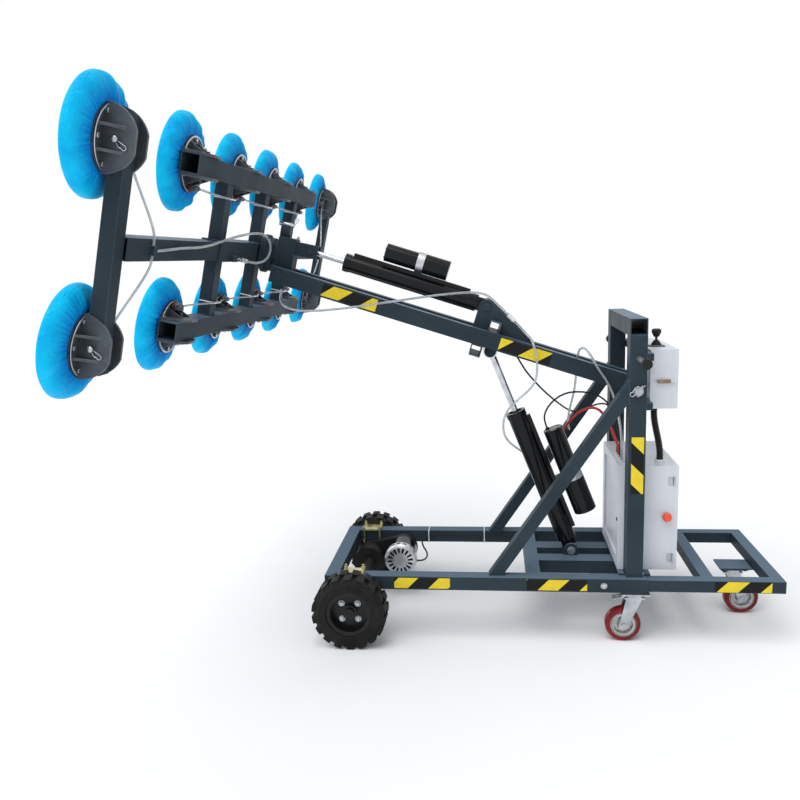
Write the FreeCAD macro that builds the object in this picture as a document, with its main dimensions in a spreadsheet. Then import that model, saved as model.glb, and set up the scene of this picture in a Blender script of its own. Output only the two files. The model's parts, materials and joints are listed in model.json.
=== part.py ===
import FreeCAD
import Part
import Sketcher
import math
import os
from types import SimpleNamespace

# Glass panel lifter: a wheeled chassis with a mast, a lifting boom and a tilting, turning frame
# of twelve suction cups. Millimetres, +X forwards to the cups, +Y to the left, +Z up, with the
# origin on the ground below the middle of the machine.

SIZES = {
    # chassis rails and the tubes welded between them
    "chassis_width": "640",
    "rail_side": "60",
    "rail_wall": "4",
    "rail_top": "285",
    "rail_front": "1340",
    "rail_back": "50",
    "middle_cross": "421",
    "centre_width": "80",
    "centre_gap": "76",
    "bar_width": "24",
    "bar_height": "8",
    "bar_reach": "275",
    "front_bar": "50",
    "back_bar": "58",
    "strap_depth": "25",
    "strap_height": "30",
    "strap_inset": "22",
    # rear frame that slides in the rails
    "rear_side": "51",
    "rear_wall": "4",
    "rear_reach": "610",
    "rear_insert": "150",
    "rear_cross": "305",
    "carrier_length": "190",
    "carrier_width": "110",
    "carrier_thickness": "6",
    # mast
    "post_side": "70",
    "post_wall": "4",
    "post_inset": "23",
    "mast_height": "1385",
    "brace_side": "50",
    "brace_wall": "4",
    "brace_foot": "616",
    "brace_over_pivot": "43",
    "handle_drop": "161",
    "handle_radius": "11",
    "handle_length": "150",
    "handle_cap_radius": "20",
    "handle_cap_length": "28",
    # pins
    "pin_clearance": "0.3",
    "pivot_drop": "295",
    "pivot_radius": "15",
    "pivot_overhang": "16",
    "spacer_radius": "24",
    "spacer_gap": "0.5",
    "clip_radius": "3",
    "clip_length": "46",
    "ring_radius": "18.5",
    "ring_wire": "2.5",
    "foot_place": "239",
    "foot_rise": "24",
    "lug_radius": "31",
    "lug_thickness": "12",
    "foot_pin_radius": "12.5",
    "pin_head_radius": "19",
    "pin_head_length": "8",
    "boom_pin_head": "14.5",
    # boom
    "boom_angle": "18.5",
    "boom_height": "70",
    "boom_rail_width": "60",
    "boom_gap": "100",
    "boom_wall": "4",
    "boom_tail": "40",
    "boom_length": "1645",
    "head_station": "1610",
    "tie_side": "50",
    "tie_wall": "4",
    "upper_tie_station": "626",
    "lower_tie_station": "675",
    "sleeve_radius": "26",
    "tilt_pin_station": "686",
    "tilt_pin_rise": "132",
    "bracket_width": "66",
    "bracket_thickness": "12",
    "bracket_inset": "2",
    "gusset_foot": "445",
    "gusset_lip": "8",
    "lift_pin_station": "612",
    "lift_pin_drop": "50",
    "lift_lug_radius": "26",
    "boom_pin_radius": "12.5",
    # actuators
    "cap_length": "26",
    "duct_width": "26",
    "duct_start": "90",
    "duct_end_gap": "34",
    "neck_length": "46",
    "eye_side_gap": "1",
    "band_length": "34",
    "link_width": "56",
    "actuator_bore": "32",
    "bore_start": "70",
    "lift_body_length": "690",
    "lift_rod_radius": "15",
    "lift_rod_length": "560",
    "lift_eye_radius": "31",
    "lift_rod_eye_radius": "33",
    "lift_rod_eye_width": "92",
    "lift_tube_radius": "43",
    "lift_cap_radius": "46",
    "lift_duct_top": "58",
    "lift_motor_offset": "127",
    "lift_gear_start": "143",
    "lift_gear_length": "160",
    "lift_motor_length": "218",
    "lift_gear_radius": "51",
    "lift_band_radius": "48",
    "lift_motor_radius": "44",
    "lift_outlet_inset": "22",
    "tilt_body_length": "668",
    "tilt_rod_radius": "12",
    "tilt_rod_length": "400",
    "tilt_eye_radius": "30",
    "tilt_rod_eye_radius": "24",
    "tilt_rod_eye_width": "32",
    "tilt_tube_radius": "38",
    "tilt_cap_radius": "41",
    "tilt_duct_top": "52",
    "tilt_motor_offset": "97",
    "tilt_gear_start": "209",
    "tilt_gear_length": "112",
    "tilt_motor_length": "146",
    "tilt_gear_radius": "44",
    "tilt_band_radius": "43",
    "tilt_motor_radius": "40",
    # tilt head
    "tilt_angle": "13.4",
    "hub_forward": "246.5",
    "hub_up": "80",
    "upright_side": "80",
    "upright_wall": "6",
    "upright_below": "45",
    "upright_above": "165",
    "lever_side": "60",
    "lever_wall": "6",
    "lever_pin_back": "107",
    "lever_pin_up": "128",
    "lever_end": "36",
    "lever_pin_radius": "10",
    "lever_pin_overhang": "10",
    "fork_clearance": "1",
    "hub_neck_radius": "42",
    "hub_neck_length": "18",
    "hub_radius": "75",
    "hub_length": "28",
    "turntable_gap": "0.3",
    "turntable_radius": "85",
    "turntable_length": "19.7",
    "spindle_radius": "25",
    "spindle_length": "30",
    "spindle_clearance": "0.05",
    # cup frame
    "frame_depth": "92",
    "centre_side": "80",
    "centre_wall": "5",
    "centre_reach": "560",
    "beam_side": "70",
    "beam_wall": "4",
    "beam_reach": "870",
    "cup_pitch": "505",
    "row_height": "292",
    "upright_depth": "50",
    "upright_width": "60",
    "arm_clearance": "0.5",
    "arm_wall": "4",
    "arm_inner_end": "190",
    "arm_cup_reach": "590",
    "end_depth": "48",
    "end_width": "60",
    "end_wall": "4",
    "end_reach": "370",
    # suction cups
    "cover_radius": "174",
    "cover_lip": "10",
    "cover_wall": "3",
    "cover_back": "50",
    "cup_radius": "164",
    "cup_wall": "9",
    "cup_neck": "92",
    "disc_radius": "97",
    "disc_back": "54",
    "disc_thickness": "12",
    "ear_thickness": "9",
    "ear_gap": "0.3",
    "ear_depth": "92",
    "rib_thickness": "8",
    "rib_height": "30",
    "rib_length": "60",
    "rib_place": "34",
    "bolt_circle": "82",
    "bolt_radius": "6",
    "bolt_height": "5",
    "cup_pin_radius": "6",
    "cup_pin_overhang": "14",
    "port_radius": "14",
    "port_length": "26",
    "port_place": "79",
    "tee_radius": "9",
    "tee_length": "44",
    # cabinet and control box
    "cabinet_front": "60",
    "cabinet_back": "168",
    "cabinet_top": "755",
    "cabinet_wall": "3",
    "panel_margin": "45",
    "panel_depth": "8",
    "panel_wall": "12",
    "door_thickness": "19",
    "door_gap": "0.3",
    "control_front": "60",
    "control_back": "150",
    "control_half": "230",
    "control_over_cabinet": "248",
    "control_height": "247",
    "control_door": "22",
    "hinge_radius": "5",
    "hinge_length": "34",
    "hinge_leaf": "22",
    "hinge_plate": "3",
    "hinge_high": "690",
    "hinge_low": "350",
    "control_hinge_inset": "50",
    "latch_rise": "116",
    "latch_length": "66",
    "latch_width": "14",
    "latch_depth": "6",
    "keeper_length": "15",
    "stop_place": "140",
    "stop_height": "535",
    "stop_stem": "10",
    "stop_head": "19",
    "stop_head_length": "17",
    "stop_collar": "23",
    "stop_collar_height": "4",
    "stop_stand": "8",
    "stop_inside": "12",
    "stick_place": "107",
    "stick_side": "100",
    "stick_ring": "27",
    "stick_ring_height": "4",
    "stick_ball": "10",
    "stick_radius": "5",
    "stick_length": "32",
    "stick_knob": "20",
    "stick_knob_length": "34",
    "conduit_side": "160",
    "conduit_top": "92",
    "conduit_foot": "121",
    "conduit_radius": "15",
    "conduit_groove": "12",
    "conduit_bore": "9",
    "conduit_straight": "32",
    "conduit_boss": "22",
    "conduit_boss_height": "6",
    # drive axle
    "axle_place": "1215",
    "wheel_radius": "162",
    "wheel_side": "395",
    "axle_radius": "32",
    "axle_reach": "325",
    "shaft_radius": "12.5",
    "shaft_clearance": "0.05",
    "shaft_reach": "125",
    "gearbox_radius": "78",
    "gearbox_far": "240",
    "gearbox_near": "130",
    "motor_back": "167",
    "motor_rise": "43",
    "drive_motor_radius": "70",
    "drive_motor_near": "60",
    "motor_flange": "200",
    "bell_length": "34",
    "bell_radius": "72",
    "clamp_length": "92",
    "clamp_width": "84",
    "clamp_thickness": "8",
    "clamp_bolt": "5",
    "clamp_bolt_stand": "18",
    "clamp_nut": "9",
    "clamp_nut_height": "8",
    "clamp_inset": "6",
    # drive wheels
    "rim_seat": "88",
    "rim_wall": "6",
    "rim_flange": "98",
    "rim_half": "50",
    "rim_lip": "5",
    "rim_disc": "10",
    "rim_disc_place": "4",
    "hub_boss": "32",
    "hub_back": "60",
    "hub_front": "30",
    "hub_cap": "20",
    "hub_cap_length": "12",
    "wheel_bolt_circle": "50",
    "wheel_bolt": "7",
    "wheel_bolt_length": "8",
    "tyre_half": "57",
    "tyre_crown": "151",
    "tyre_shoulder": "134",
    "tyre_gap": "0.3",
    "lug_length": "34",
    "lug_width": "48",
    "lug_depth": "16",
    "lug_side": "28",
    # casters
    "plate_length": "119",
    "plate_width": "100",
    "plate_thickness": "6",
    "plate_bolt": "8",
    "plate_bolt_height": "5",
    "plate_bolt_inset": "13",
    "caster_radius": "75",
    "caster_trail": "45",
    "caster_width": "44",
    "caster_hub_radius": "52",
    "caster_bore": "6",
    "race_radius": "40",
    "race_height": "16",
    "race_gap": "0.3",
    "crown_thickness": "7",
    "crown_length": "84",
    "leg_thickness": "6",
    "leg_clearance": "3",
    "leg_top": "66",
    "leg_radius": "20",
    "axle_head": "11",
    "axle_head_length": "6",
    "pedal_reach": "42",
    "pedal_width": "38",
    "pedal_thickness": "5",
    "pedal_pin": "5",
    "pedal_drop": "8",
    "rear_caster": "485",
    # hoses, cables and the outlets that they meet
    "hose_radius": "5",
    "thin_hose_radius": "4",
    "cable_radius": "4",
    "red_cable_radius": "6",
    "gland_radius": "12",
    "gland_height": "8",
    "gland_place": "35",
    "gland_first": "20",
    "gland_pitch": "40",
    "outlet_radius": "9",
    "outlet_length": "10",
    "outlet_high": "815",
    "outlet_low": "700",
    "outlet_hose": "660",
    "rail_outlet_side": "235",
    "rail_outlet_length": "12",
    "motor_outlet_drop": "30",
    "motor_outlet_side": "130",
    "motor_outlet_stand": "6",
    "boom_outlet": "540",
    "boom_outlet_length": "8",
    "arch_station": "228.3",
    "arch_rise": "8",
    "under_station": "222",
    "under_drop": "10",
    "union_radius": "9",
    "union_length": "40",
    "nipple_radius": "7",
    "nipple_length": "20",
    "arm_tee_side": "1165",
    "arm_tee_depth": "18",
    "arm_tee_width": "24",
    "arm_tee_height": "30",
    "junction_side": "425",
    "junction_depth": "20",
    "junction_width": "50",
    "junction_height": "24",
    "junction_drop": "25",
    # how far a cutting shape runs past what it cuts
    "overrun": "20",
}

LUG_COUNT = 18
WHEEL_BOLT_COUNT = 4
DISC_BOLT_COUNT = 6
RIB_COUNT = 20
GLAND_COUNT = 4

# Shares that shape the turned and cut outlines.
RIB_SHARES = (0.0, 0.25, 0.4, 0.85)
STOP_EDGE_SHARE = 0.6
STOP_TOP_SHARE = 0.7
KNOB_FOOT_SHARE = 0.55
KNOB_BELLY_SHARES = (0.55, 0.85)
KNOB_TOP_SHARE = 0.7
KNOB_SEAT_SHARE = 0.8
TYRE_FLAT_SHARE = 0.82
CASTER_WEB_SHARE = 0.5
CASTER_BOSS_SHARE = 1.3
CASTER_EDGE_SHARE = 0.93
CASTER_FLAT_SHARE = 0.6
BRACKET_SHARES = (0.25, 0.43)
UNION_SHARE = 0.57
COVER_BACK_SHARES = (0.94, 0.72)
COVER_WIDTH_SHARES = (0.45, 0.8)
CUP_DEPTH_SHARES = (0.75, 0.6, 0.7)
CUP_LIP_SHARES = (1.6, 3.0)

doc = FreeCAD.newDocument("panel_lifter")
sheet = doc.addObject("Spreadsheet::Sheet", "dims")
for row, (alias, text) in enumerate(SIZES.items(), start=1):
    sheet.set(f"A{row}", alias.replace("_", " "))
    sheet.set(f"B{row}", text)
    sheet.setAlias(f"B{row}", alias)
doc.recompute()


class Size:
    """A length or an angle: an expression on the sheet's cells, together with its present number."""

    def __init__(self, text, number):
        self.text = text
        self.number = number

    def __add__(self, other):
        return Size(f"({self.text} + {as_size(other).text})", self.number + as_size(other).number)

    def __sub__(self, other):
        return Size(f"({self.text} - {as_size(other).text})", self.number - as_size(other).number)

    def __mul__(self, other):
        return Size(f"({self.text} * {as_size(other).text})", self.number * as_size(other).number)

    def __truediv__(self, other):
        return Size(f"({self.text} / {as_size(other).text})", self.number / as_size(other).number)

    def __neg__(self):
        return Size(f"(0 - {self.text})", -self.number)

    __radd__ = __add__
    __rmul__ = __mul__


def as_size(amount):
    """A plain count as a Size, or the Size itself."""
    if isinstance(amount, Size):
        return amount
    return Size(repr(float(amount)), float(amount))


def sine(angle):
    return Size(f"sin({as_size(angle).text})", math.sin(math.radians(as_size(angle).number)))


def cosine(angle):
    return Size(f"cos({as_size(angle).text})", math.cos(math.radians(as_size(angle).number)))


def root(amount):
    return Size(f"sqrt({amount.text})", math.sqrt(amount.number))


def slope_angle(rise, run):
    """The angle, in degrees, of a line that rises by rise over run."""
    text = f"(atan2({rise.text}; {run.text}) / 1 deg)"
    return Size(text, math.degrees(math.atan2(rise.number, run.number)))


d = SimpleNamespace(**{alias: Size(f"dims.{alias}", float(text)) for alias, text in SIZES.items()})
ZERO = as_size(0)
AXES = {"x": FreeCAD.Vector(1, 0, 0), "y": FreeCAD.Vector(0, 1, 0), "z": FreeCAD.Vector(0, 0, 1)}
QUARTER = 90
FULL_TURN = 360


def bind(item, prop, amount):
    """Tie one property of a document object to the sheet."""
    item.setExpression(prop, as_size(amount).text)


def put(item, where, axis="z", turn=None):
    """Place an object at three lengths, turned about one axis by a bound angle."""
    if turn is not None:
        turn = as_size(turn)
        item.Placement = FreeCAD.Placement(FreeCAD.Vector(), FreeCAD.Rotation(AXES[axis], turn.number))
        bind(item, "Placement.Rotation.Angle", turn)
    for letter, amount in zip("xyz", where):
        bind(item, f"Placement.Base.{letter}", amount)
    return item


def block(name, size, corner):
    """A box from its lower corner."""
    item = doc.addObject("Part::Box", name)
    for prop, amount in zip(("Length", "Width", "Height"), size):
        bind(item, prop, amount)
    return put(item, corner)


def bar(name, radius, length, start, axis="z"):
    """A round bar from the middle of its first end along one axis."""
    item = doc.addObject("Part::Cylinder", name)
    bind(item, "Radius", radius)
    bind(item, "Height", length)
    if axis == "x":
        return put(item, start, "y", QUARTER)
    if axis == "y":
        return put(item, start, "x", -QUARTER)
    return put(item, start)


def fuse(name, items):
    item = doc.addObject("Part::MultiFuse", name)
    item.Shapes = items
    return item


def cut(name, base, tools):
    """The base less every tool."""
    item = doc.addObject("Part::Cut", name)
    item.Base = base
    item.Tool = tools[0] if len(tools) == 1 else fuse(name + "_tools", tools)
    return item


def group(name, items):
    item = doc.addObject("Part::Compound", name)
    item.Links = items
    return item


def mirror(name, source):
    """The same piece on the other side of the machine's middle plane."""
    item = doc.addObject("Part::Mirroring", name)
    item.Source = source
    item.Normal = AXES["y"]
    return item


def pair(name, source):
    return group(name, [source, mirror(name + "_other", source)])


def tube(name, size, corner, wall, along):
    """A square or rectangular tube, open at both ends, along one axis."""
    outer = block(name + "_outer", size, corner)
    inner_size = []
    inner_corner = []
    for letter, length, start in zip("xyz", size, corner):
        margin = -d.overrun if letter == along else wall
        inner_size.append(as_size(length) - 2 * margin)
        inner_corner.append(as_size(start) + margin)
    inner = block(name + "_inner", inner_size, inner_corner)
    return cut(name, outer, [inner])


def outline(body, name, points):
    """A closed outline in the body's own upright plane, each corner held at two bound lengths."""
    sketch = body.newObject("Sketcher::SketchObject", name)
    plane = [item for item in body.Origin.OriginFeatures if item.Role == "XZ_Plane"][0]
    sketch.AttachmentSupport = [(plane, "")]
    sketch.MapMode = "FlatFace"
    corners = [(as_size(across), as_size(up)) for across, up in points]
    places = [FreeCAD.Vector(across.number, up.number, 0) for across, up in corners]
    count = len(corners)
    for index in range(count):
        sketch.addGeometry(Part.LineSegment(places[index], places[(index + 1) % count]), False)
    for index in range(count):
        sketch.addConstraint(Sketcher.Constraint("Coincident", index, 2, (index + 1) % count, 1))
    for index, (across, up) in enumerate(corners):
        for kind, amount in (("DistanceX", across), ("DistanceY", up)):
            number = sketch.addConstraint(Sketcher.Constraint(kind, index, 1, amount.number))
            sketch.setExpression(f"Constraints[{number}]", amount.text)
    return sketch


def turned(name, points):
    """A piece turned about its own X axis from an outline of (along, radius) corners."""
    body = doc.addObject("PartDesign::Body", name)
    sketch = outline(body, name + "_outline", points)
    feature = body.newObject("PartDesign::Revolution", name + "_turn")
    feature.Profile = sketch
    feature.ReferenceAxis = (sketch, ["H_Axis"])
    feature.Angle = FULL_TURN
    return body


def plate(name, points, start, thickness):
    """A flat piece cut to an outline of (x, z) corners, from y start over its thickness."""
    body = doc.addObject("PartDesign::Body", name)
    sketch = outline(body, name + "_outline", points)
    feature = body.newObject("PartDesign::Pad", name + "_pad")
    feature.Profile = sketch
    bind(feature, "Length", thickness)
    return put(body, (ZERO, as_size(start) + thickness, ZERO))


NODES = []


def node(label, item, frame):
    """Name a finished piece and set it in its frame: forward and up place, and upward turn."""
    item.Label = label
    forward, up, turn = frame
    if turn is None:
        put(item, (forward, ZERO, up))
    else:
        put(item, (forward, ZERO, up), "y", -turn)
    NODES.append(item)
    return item


# Where the frames lie. The mast stands at mast_place, and every other frame follows the boom.
pivot_height = d.mast_height - d.pivot_drop
head_x = d.head_station * cosine(d.boom_angle)
head_z = pivot_height + d.head_station * sine(d.boom_angle)
hub_x = head_x + d.hub_forward * cosine(d.tilt_angle) - d.hub_up * sine(d.tilt_angle)
hub_z = head_z + d.hub_forward * sine(d.tilt_angle) + d.hub_up * cosine(d.tilt_angle)
front_x = hub_x + (d.row_height + d.cover_radius) * sine(d.tilt_angle)
mast_place = (d.rear_reach - front_x) / 2
MAST = (mast_place, ZERO, None)
BOOM = (mast_place, pivot_height, d.boom_angle)
HEAD = (mast_place + hub_x, hub_z, d.tilt_angle)

# The lift actuator runs from its foot on the chassis to a pin under the boom.
lift_pin_x = d.lift_pin_station * cosine(d.boom_angle) + d.lift_pin_drop * sine(d.boom_angle)
lift_pin_z = pivot_height + d.lift_pin_station * sine(d.boom_angle) - d.lift_pin_drop * cosine(d.boom_angle)
foot_z = d.rail_top + d.foot_rise
lift_run = lift_pin_x - d.foot_place
lift_rise = lift_pin_z - foot_z
lift_span = root(lift_run * lift_run + lift_rise * lift_rise)
LIFT = (mast_place + d.foot_place, foot_z, slope_angle(lift_rise, lift_run))

# The tilt actuator runs from a bracket on the boom to the lever of the head.
tilt_pin_x = d.tilt_pin_station * cosine(d.boom_angle) - d.tilt_pin_rise * sine(d.boom_angle)
tilt_pin_z = pivot_height + d.tilt_pin_station * sine(d.boom_angle) + d.tilt_pin_rise * cosine(d.boom_angle)
lever_x = head_x - d.lever_pin_back * cosine(d.tilt_angle) - d.lever_pin_up * sine(d.tilt_angle)
lever_z = head_z - d.lever_pin_back * sine(d.tilt_angle) + d.lever_pin_up * cosine(d.tilt_angle)
tilt_run = lever_x - tilt_pin_x
tilt_rise = lever_z - tilt_pin_z
tilt_span = root(tilt_run * tilt_run + tilt_rise * tilt_rise)
TILT = (mast_place + tilt_pin_x, tilt_pin_z, slope_angle(tilt_rise, tilt_run))

# Chassis rails: two long square tubes, open at the back for the rear frame.
rail_half = d.chassis_width / 2
rail_inner = rail_half - d.rail_side
rail_base = d.rail_top - d.rail_side
rail_length = d.rail_front + d.rail_back
rail_size = (rail_length, d.rail_side, d.rail_side)
rail = tube("rail", rail_size, (-d.rail_back, rail_inner, rail_base), d.rail_wall, "x")
node("chassis_rails", pair("rails", rail), MAST)

# Tubes and bars welded between the rails, with the lugs that hold the foot of the lift actuator.
members = []
crosses = {"front": d.rail_front - d.rail_side / 2, "middle": d.middle_cross, "mast": ZERO}
for place, middle in crosses.items():
    size = (d.rail_side, 2 * rail_inner, d.rail_side)
    corner = (middle - d.rail_side / 2, -rail_inner, rail_base)
    members.append(tube(f"cross_{place}", size, corner, d.rail_wall, "y"))
centre_size = (d.middle_cross - d.rail_side, d.centre_width, d.rail_side)
centre = tube("centre_member", centre_size, (d.rail_side / 2, d.centre_gap / 2, rail_base), d.rail_wall, "x")
members.append(pair("centre_members", centre))
lug_block = block(
    "foot_lug_block",
    (2 * d.lug_radius, d.lug_thickness, d.foot_rise),
    (d.foot_place - d.lug_radius, d.centre_gap / 2, d.rail_top),
)
lug_round = bar("foot_lug_round", d.lug_radius, d.lug_thickness, (d.foot_place, d.centre_gap / 2, foot_z), "y")
lug_below = block(
    "foot_lug_below",
    (2 * d.lug_radius, d.lug_thickness, d.lug_radius),
    (d.foot_place - d.lug_radius, d.centre_gap / 2, d.rail_top - d.lug_radius),
)
foot_hole = bar(
    "foot_hole", d.foot_pin_radius + d.pin_clearance, d.centre_gap, (d.foot_place, ZERO, foot_z), "y"
)
lug = cut("foot_lug", fuse("foot_lug_whole", [lug_block, lug_round]), [lug_below, foot_hole])
members.append(pair("foot_lugs", lug))
for place, middle in (("front", d.front_bar), ("back", -d.back_bar)):
    size = (d.bar_width, 2 * d.bar_reach, d.bar_height)
    members.append(block(f"bar_{place}", size, (middle - d.bar_width / 2, -d.bar_reach, d.rail_top)))
post_outer = rail_half - d.post_inset
control_base = d.cabinet_top + d.control_over_cabinet
control_top = control_base + d.control_height
for place, height in (("low", control_base + d.strap_inset), ("high", control_top - d.strap_inset)):
    size = (d.strap_depth, 2 * post_outer, d.strap_height)
    corner = (-d.post_side / 2 - d.strap_depth, -post_outer, height - d.strap_height / 2)
    members.append(block(f"strap_{place}", size, corner))
rail_outlet_start = (d.middle_cross + d.rail_side / 2, -d.rail_outlet_side, d.rail_top - d.rail_side / 2)
members.append(bar("rail_outlet", d.outlet_radius, d.rail_outlet_length, rail_outlet_start, "x"))
node("chassis_members", group("members", members), MAST)

# Mast: two posts on the rails and a top tube with open ends.
post_height = d.mast_height - d.post_side - d.rail_top
post_inner = post_outer - d.post_side
post_tube = tube(
    "post_tube",
    (d.post_side, d.post_side, post_height),
    (-d.post_side / 2, post_inner, d.rail_top),
    d.post_wall,
    "z",
)
post_hole = bar("post_hole", d.pivot_radius + d.pin_clearance, rail_half, (ZERO, ZERO, pivot_height), "y")
post = cut("post", post_tube, [post_hole])
top_tube = tube(
    "top_tube",
    (d.post_side, 2 * post_outer, d.post_side),
    (-d.post_side / 2, -post_outer, d.mast_height - d.post_side),
    d.post_wall,
    "y",
)
node("mast_tubes", group("mast", [pair("posts", post), top_tube]), MAST)

# Side handles: a round bar on each post with a cap on its end.
handle_height = d.mast_height - d.handle_drop
handle = bar("handle_bar", d.handle_radius, d.handle_length, (ZERO, post_outer, handle_height), "y")
cap_start = post_outer + d.handle_length
cap = bar("handle_cap", d.handle_cap_radius, d.handle_cap_length, (ZERO, cap_start, handle_height), "y")
node("side_handles", pair("handles", group("handle", [handle, cap])), MAST)

# Diagonal braces from the rails to the posts, cut flat at the foot and upright at the post.
brace_run = d.brace_foot - d.post_side / 2
brace_head = pivot_height + d.brace_over_pivot
brace_rise = brace_head - d.rail_top
brace_angle = slope_angle(brace_rise, brace_run)


def brace_outline(front, back):
    """Corners of the brace between two lines that lie front and back behind its upper edge."""
    return [
        (d.brace_foot - front / sine(brace_angle), d.rail_top),
        (d.post_side / 2, brace_head - front / cosine(brace_angle)),
        (d.post_side / 2, brace_head - back / cosine(brace_angle)),
        (d.brace_foot - back / sine(brace_angle), d.rail_top),
    ]


brace_start = post_outer - d.brace_side
brace_solid = plate("brace_solid", brace_outline(ZERO, d.brace_side), brace_start, d.brace_side)
brace_hollow = plate(
    "brace_hollow",
    brace_outline(d.brace_wall, d.brace_side - d.brace_wall),
    brace_start + d.brace_wall,
    d.brace_side - 2 * d.brace_wall,
)
brace_parts = [pair("braces", cut("brace", brace_solid, [brace_hollow]))]
for place, height in (("high", d.outlet_high), ("low", d.outlet_low), ("hose", d.outlet_hose)):
    along = (height - d.rail_top) * cosine(brace_angle) + d.brace_side / 2
    back = along / sine(brace_angle)
    outlet_start = (d.brace_foot - back, -brace_start, height)
    brace_parts.append(bar(f"brace_outlet_{place}", d.outlet_radius, d.outlet_length, outlet_start, "y"))
node("mast_braces", group("braces_all", brace_parts), MAST)

# Pins of the chassis: the boom's pivot with its clips and spacers, and the foot pin.
boom_outer = d.boom_gap / 2 + d.boom_rail_width
pivot_end = post_outer + d.pivot_overhang
clip_place = post_outer + d.pivot_overhang / 2
pivot_parts = [bar("pivot_bar", d.pivot_radius, 2 * pivot_end, (ZERO, -pivot_end, pivot_height), "y")]
for side, sign in (("left", 1), ("right", -1)):
    start = (ZERO, sign * clip_place, pivot_height - d.clip_length / 2)
    pivot_parts.append(bar(f"clip_{side}", d.clip_radius, d.clip_length, start))
    ring = doc.addObject("Part::Torus", f"ring_{side}")
    bind(ring, "Radius1", d.ring_radius)
    bind(ring, "Radius2", d.ring_wire)
    put(ring, (ZERO, sign * clip_place, pivot_height), "x", QUARTER)
    pivot_parts.append(ring)
spacer_length = post_inner - boom_outer - 2 * d.spacer_gap
spacer_start = (ZERO, boom_outer + d.spacer_gap, pivot_height)
spacer_outer = bar("spacer_outer", d.spacer_radius, spacer_length, spacer_start, "y")
spacer_bore = bar("spacer_bore", d.pivot_radius + d.pin_clearance, rail_half, (ZERO, ZERO, pivot_height), "y")
spacers = pair("spacers", cut("spacer", spacer_outer, [spacer_bore]))
foot_pin_half = d.centre_gap / 2 + d.lug_thickness
foot_bar = bar("foot_bar", d.foot_pin_radius, 2 * foot_pin_half, (d.foot_place, -foot_pin_half, foot_z), "y")
foot_head = bar("foot_head", d.pin_head_radius, d.pin_head_length, (d.foot_place, foot_pin_half, foot_z), "y")
foot_pin = fuse("foot_pin", [foot_bar, foot_head, mirror("foot_head_other", foot_head)])
node("base_pins", group("pins", [fuse("pivot_pin", pivot_parts), spacers, foot_pin]), MAST)

# Cabinet on its two bars: open at the back, with a sunk panel in front and a collar for the button.
cabinet_base = d.rail_top + d.bar_height
cabinet_half = post_inner - d.door_gap
cabinet_length = d.cabinet_front + d.cabinet_back
cabinet_height = d.cabinet_top - cabinet_base
cabinet_case = block(
    "cabinet_case",
    (cabinet_length, 2 * cabinet_half, cabinet_height),
    (-d.cabinet_back, -cabinet_half, cabinet_base),
)
cabinet_room = block(
    "cabinet_room",
    (
        cabinet_length - d.panel_wall + d.overrun,
        2 * cabinet_half - 2 * d.cabinet_wall,
        cabinet_height - 2 * d.cabinet_wall,
    ),
    (-d.cabinet_back - d.overrun, d.cabinet_wall - cabinet_half, cabinet_base + d.cabinet_wall),
)
cabinet_panel = block(
    "cabinet_panel",
    (d.panel_depth + d.overrun, 2 * cabinet_half - 2 * d.panel_margin, cabinet_height - 2 * d.panel_margin),
    (d.cabinet_front - d.panel_depth, d.panel_margin - cabinet_half, cabinet_base + d.panel_margin),
)
stop_start = (-d.stop_place, cabinet_half, d.stop_height)
stop_collar = bar("stop_collar", d.stop_collar, d.stop_collar_height, stop_start, "y")
stop_hole = bar(
    "stop_hole",
    d.stop_stem + d.pin_clearance,
    2 * d.overrun,
    (-d.stop_place, cabinet_half - d.overrun, d.stop_height),
    "y",
)
conduit_boss = bar(
    "conduit_boss",
    d.conduit_boss,
    d.conduit_boss_height,
    (-d.conduit_foot, d.conduit_side, d.cabinet_top),
)
cabinet_parts = [cabinet_case, stop_collar, conduit_boss]
for index in range(GLAND_COUNT):
    gland_start = (d.gland_place, d.gland_first + index * d.gland_pitch, d.cabinet_top)
    cabinet_parts.append(bar(f"gland_{index}", d.gland_radius, d.gland_height, gland_start))
cabinet_whole = fuse("cabinet_whole", cabinet_parts)
node("cabinet_body", cut("cabinet", cabinet_whole, [cabinet_room, cabinet_panel, stop_hole]), MAST)

# Emergency stop: a mushroom head on a stem that slides into the cabinet.
stop_outline = [
    (-d.stop_inside, ZERO),
    (-d.stop_inside, d.stop_stem),
    (d.stop_collar_height + d.stop_stand, d.stop_stem),
    (d.stop_collar_height + d.stop_stand, d.stop_head),
    (d.stop_collar_height + d.stop_stand + d.stop_head_length * STOP_EDGE_SHARE, d.stop_head),
    (d.stop_collar_height + d.stop_stand + d.stop_head_length, d.stop_head * STOP_TOP_SHARE),
    (d.stop_collar_height + d.stop_stand + d.stop_head_length, ZERO),
]
stop_turned = put(turned("stop_turned", stop_outline), stop_start, "z", QUARTER)
node("estop_button", group("stop_button", [stop_turned]), MAST)


def box_door(name, back, half, base, top, thickness, hinge_side, heights):
    """A door over the back of a box, with a leaf for each hinge on its side."""
    front = -back - d.door_gap
    sheet_part = block(name + "_sheet", (thickness, 2 * half, top - base), (front - thickness, -half, base))
    parts = [sheet_part]
    leaf_front = -back - d.hinge_radius - d.door_gap
    leaf_length = thickness + d.door_gap - d.hinge_radius
    leaf_start = half if hinge_side > 0 else -half - d.hinge_plate
    for index, height in enumerate(heights):
        corner = (leaf_front - leaf_length, leaf_start, height - d.hinge_length / 2)
        parts.append(block(f"{name}_leaf_{index}", (leaf_length, d.hinge_plate, d.hinge_length), corner))
    return parts


cabinet_heights = (d.hinge_high, d.hinge_low)
control_heights = (control_top - d.control_hinge_inset, control_base + d.control_hinge_inset)
cabinet_door = box_door(
    "door", d.cabinet_back, cabinet_half, cabinet_base, d.cabinet_top, d.door_thickness, 1, cabinet_heights
)
node("cabinet_door", fuse("door", cabinet_door), MAST)

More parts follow.
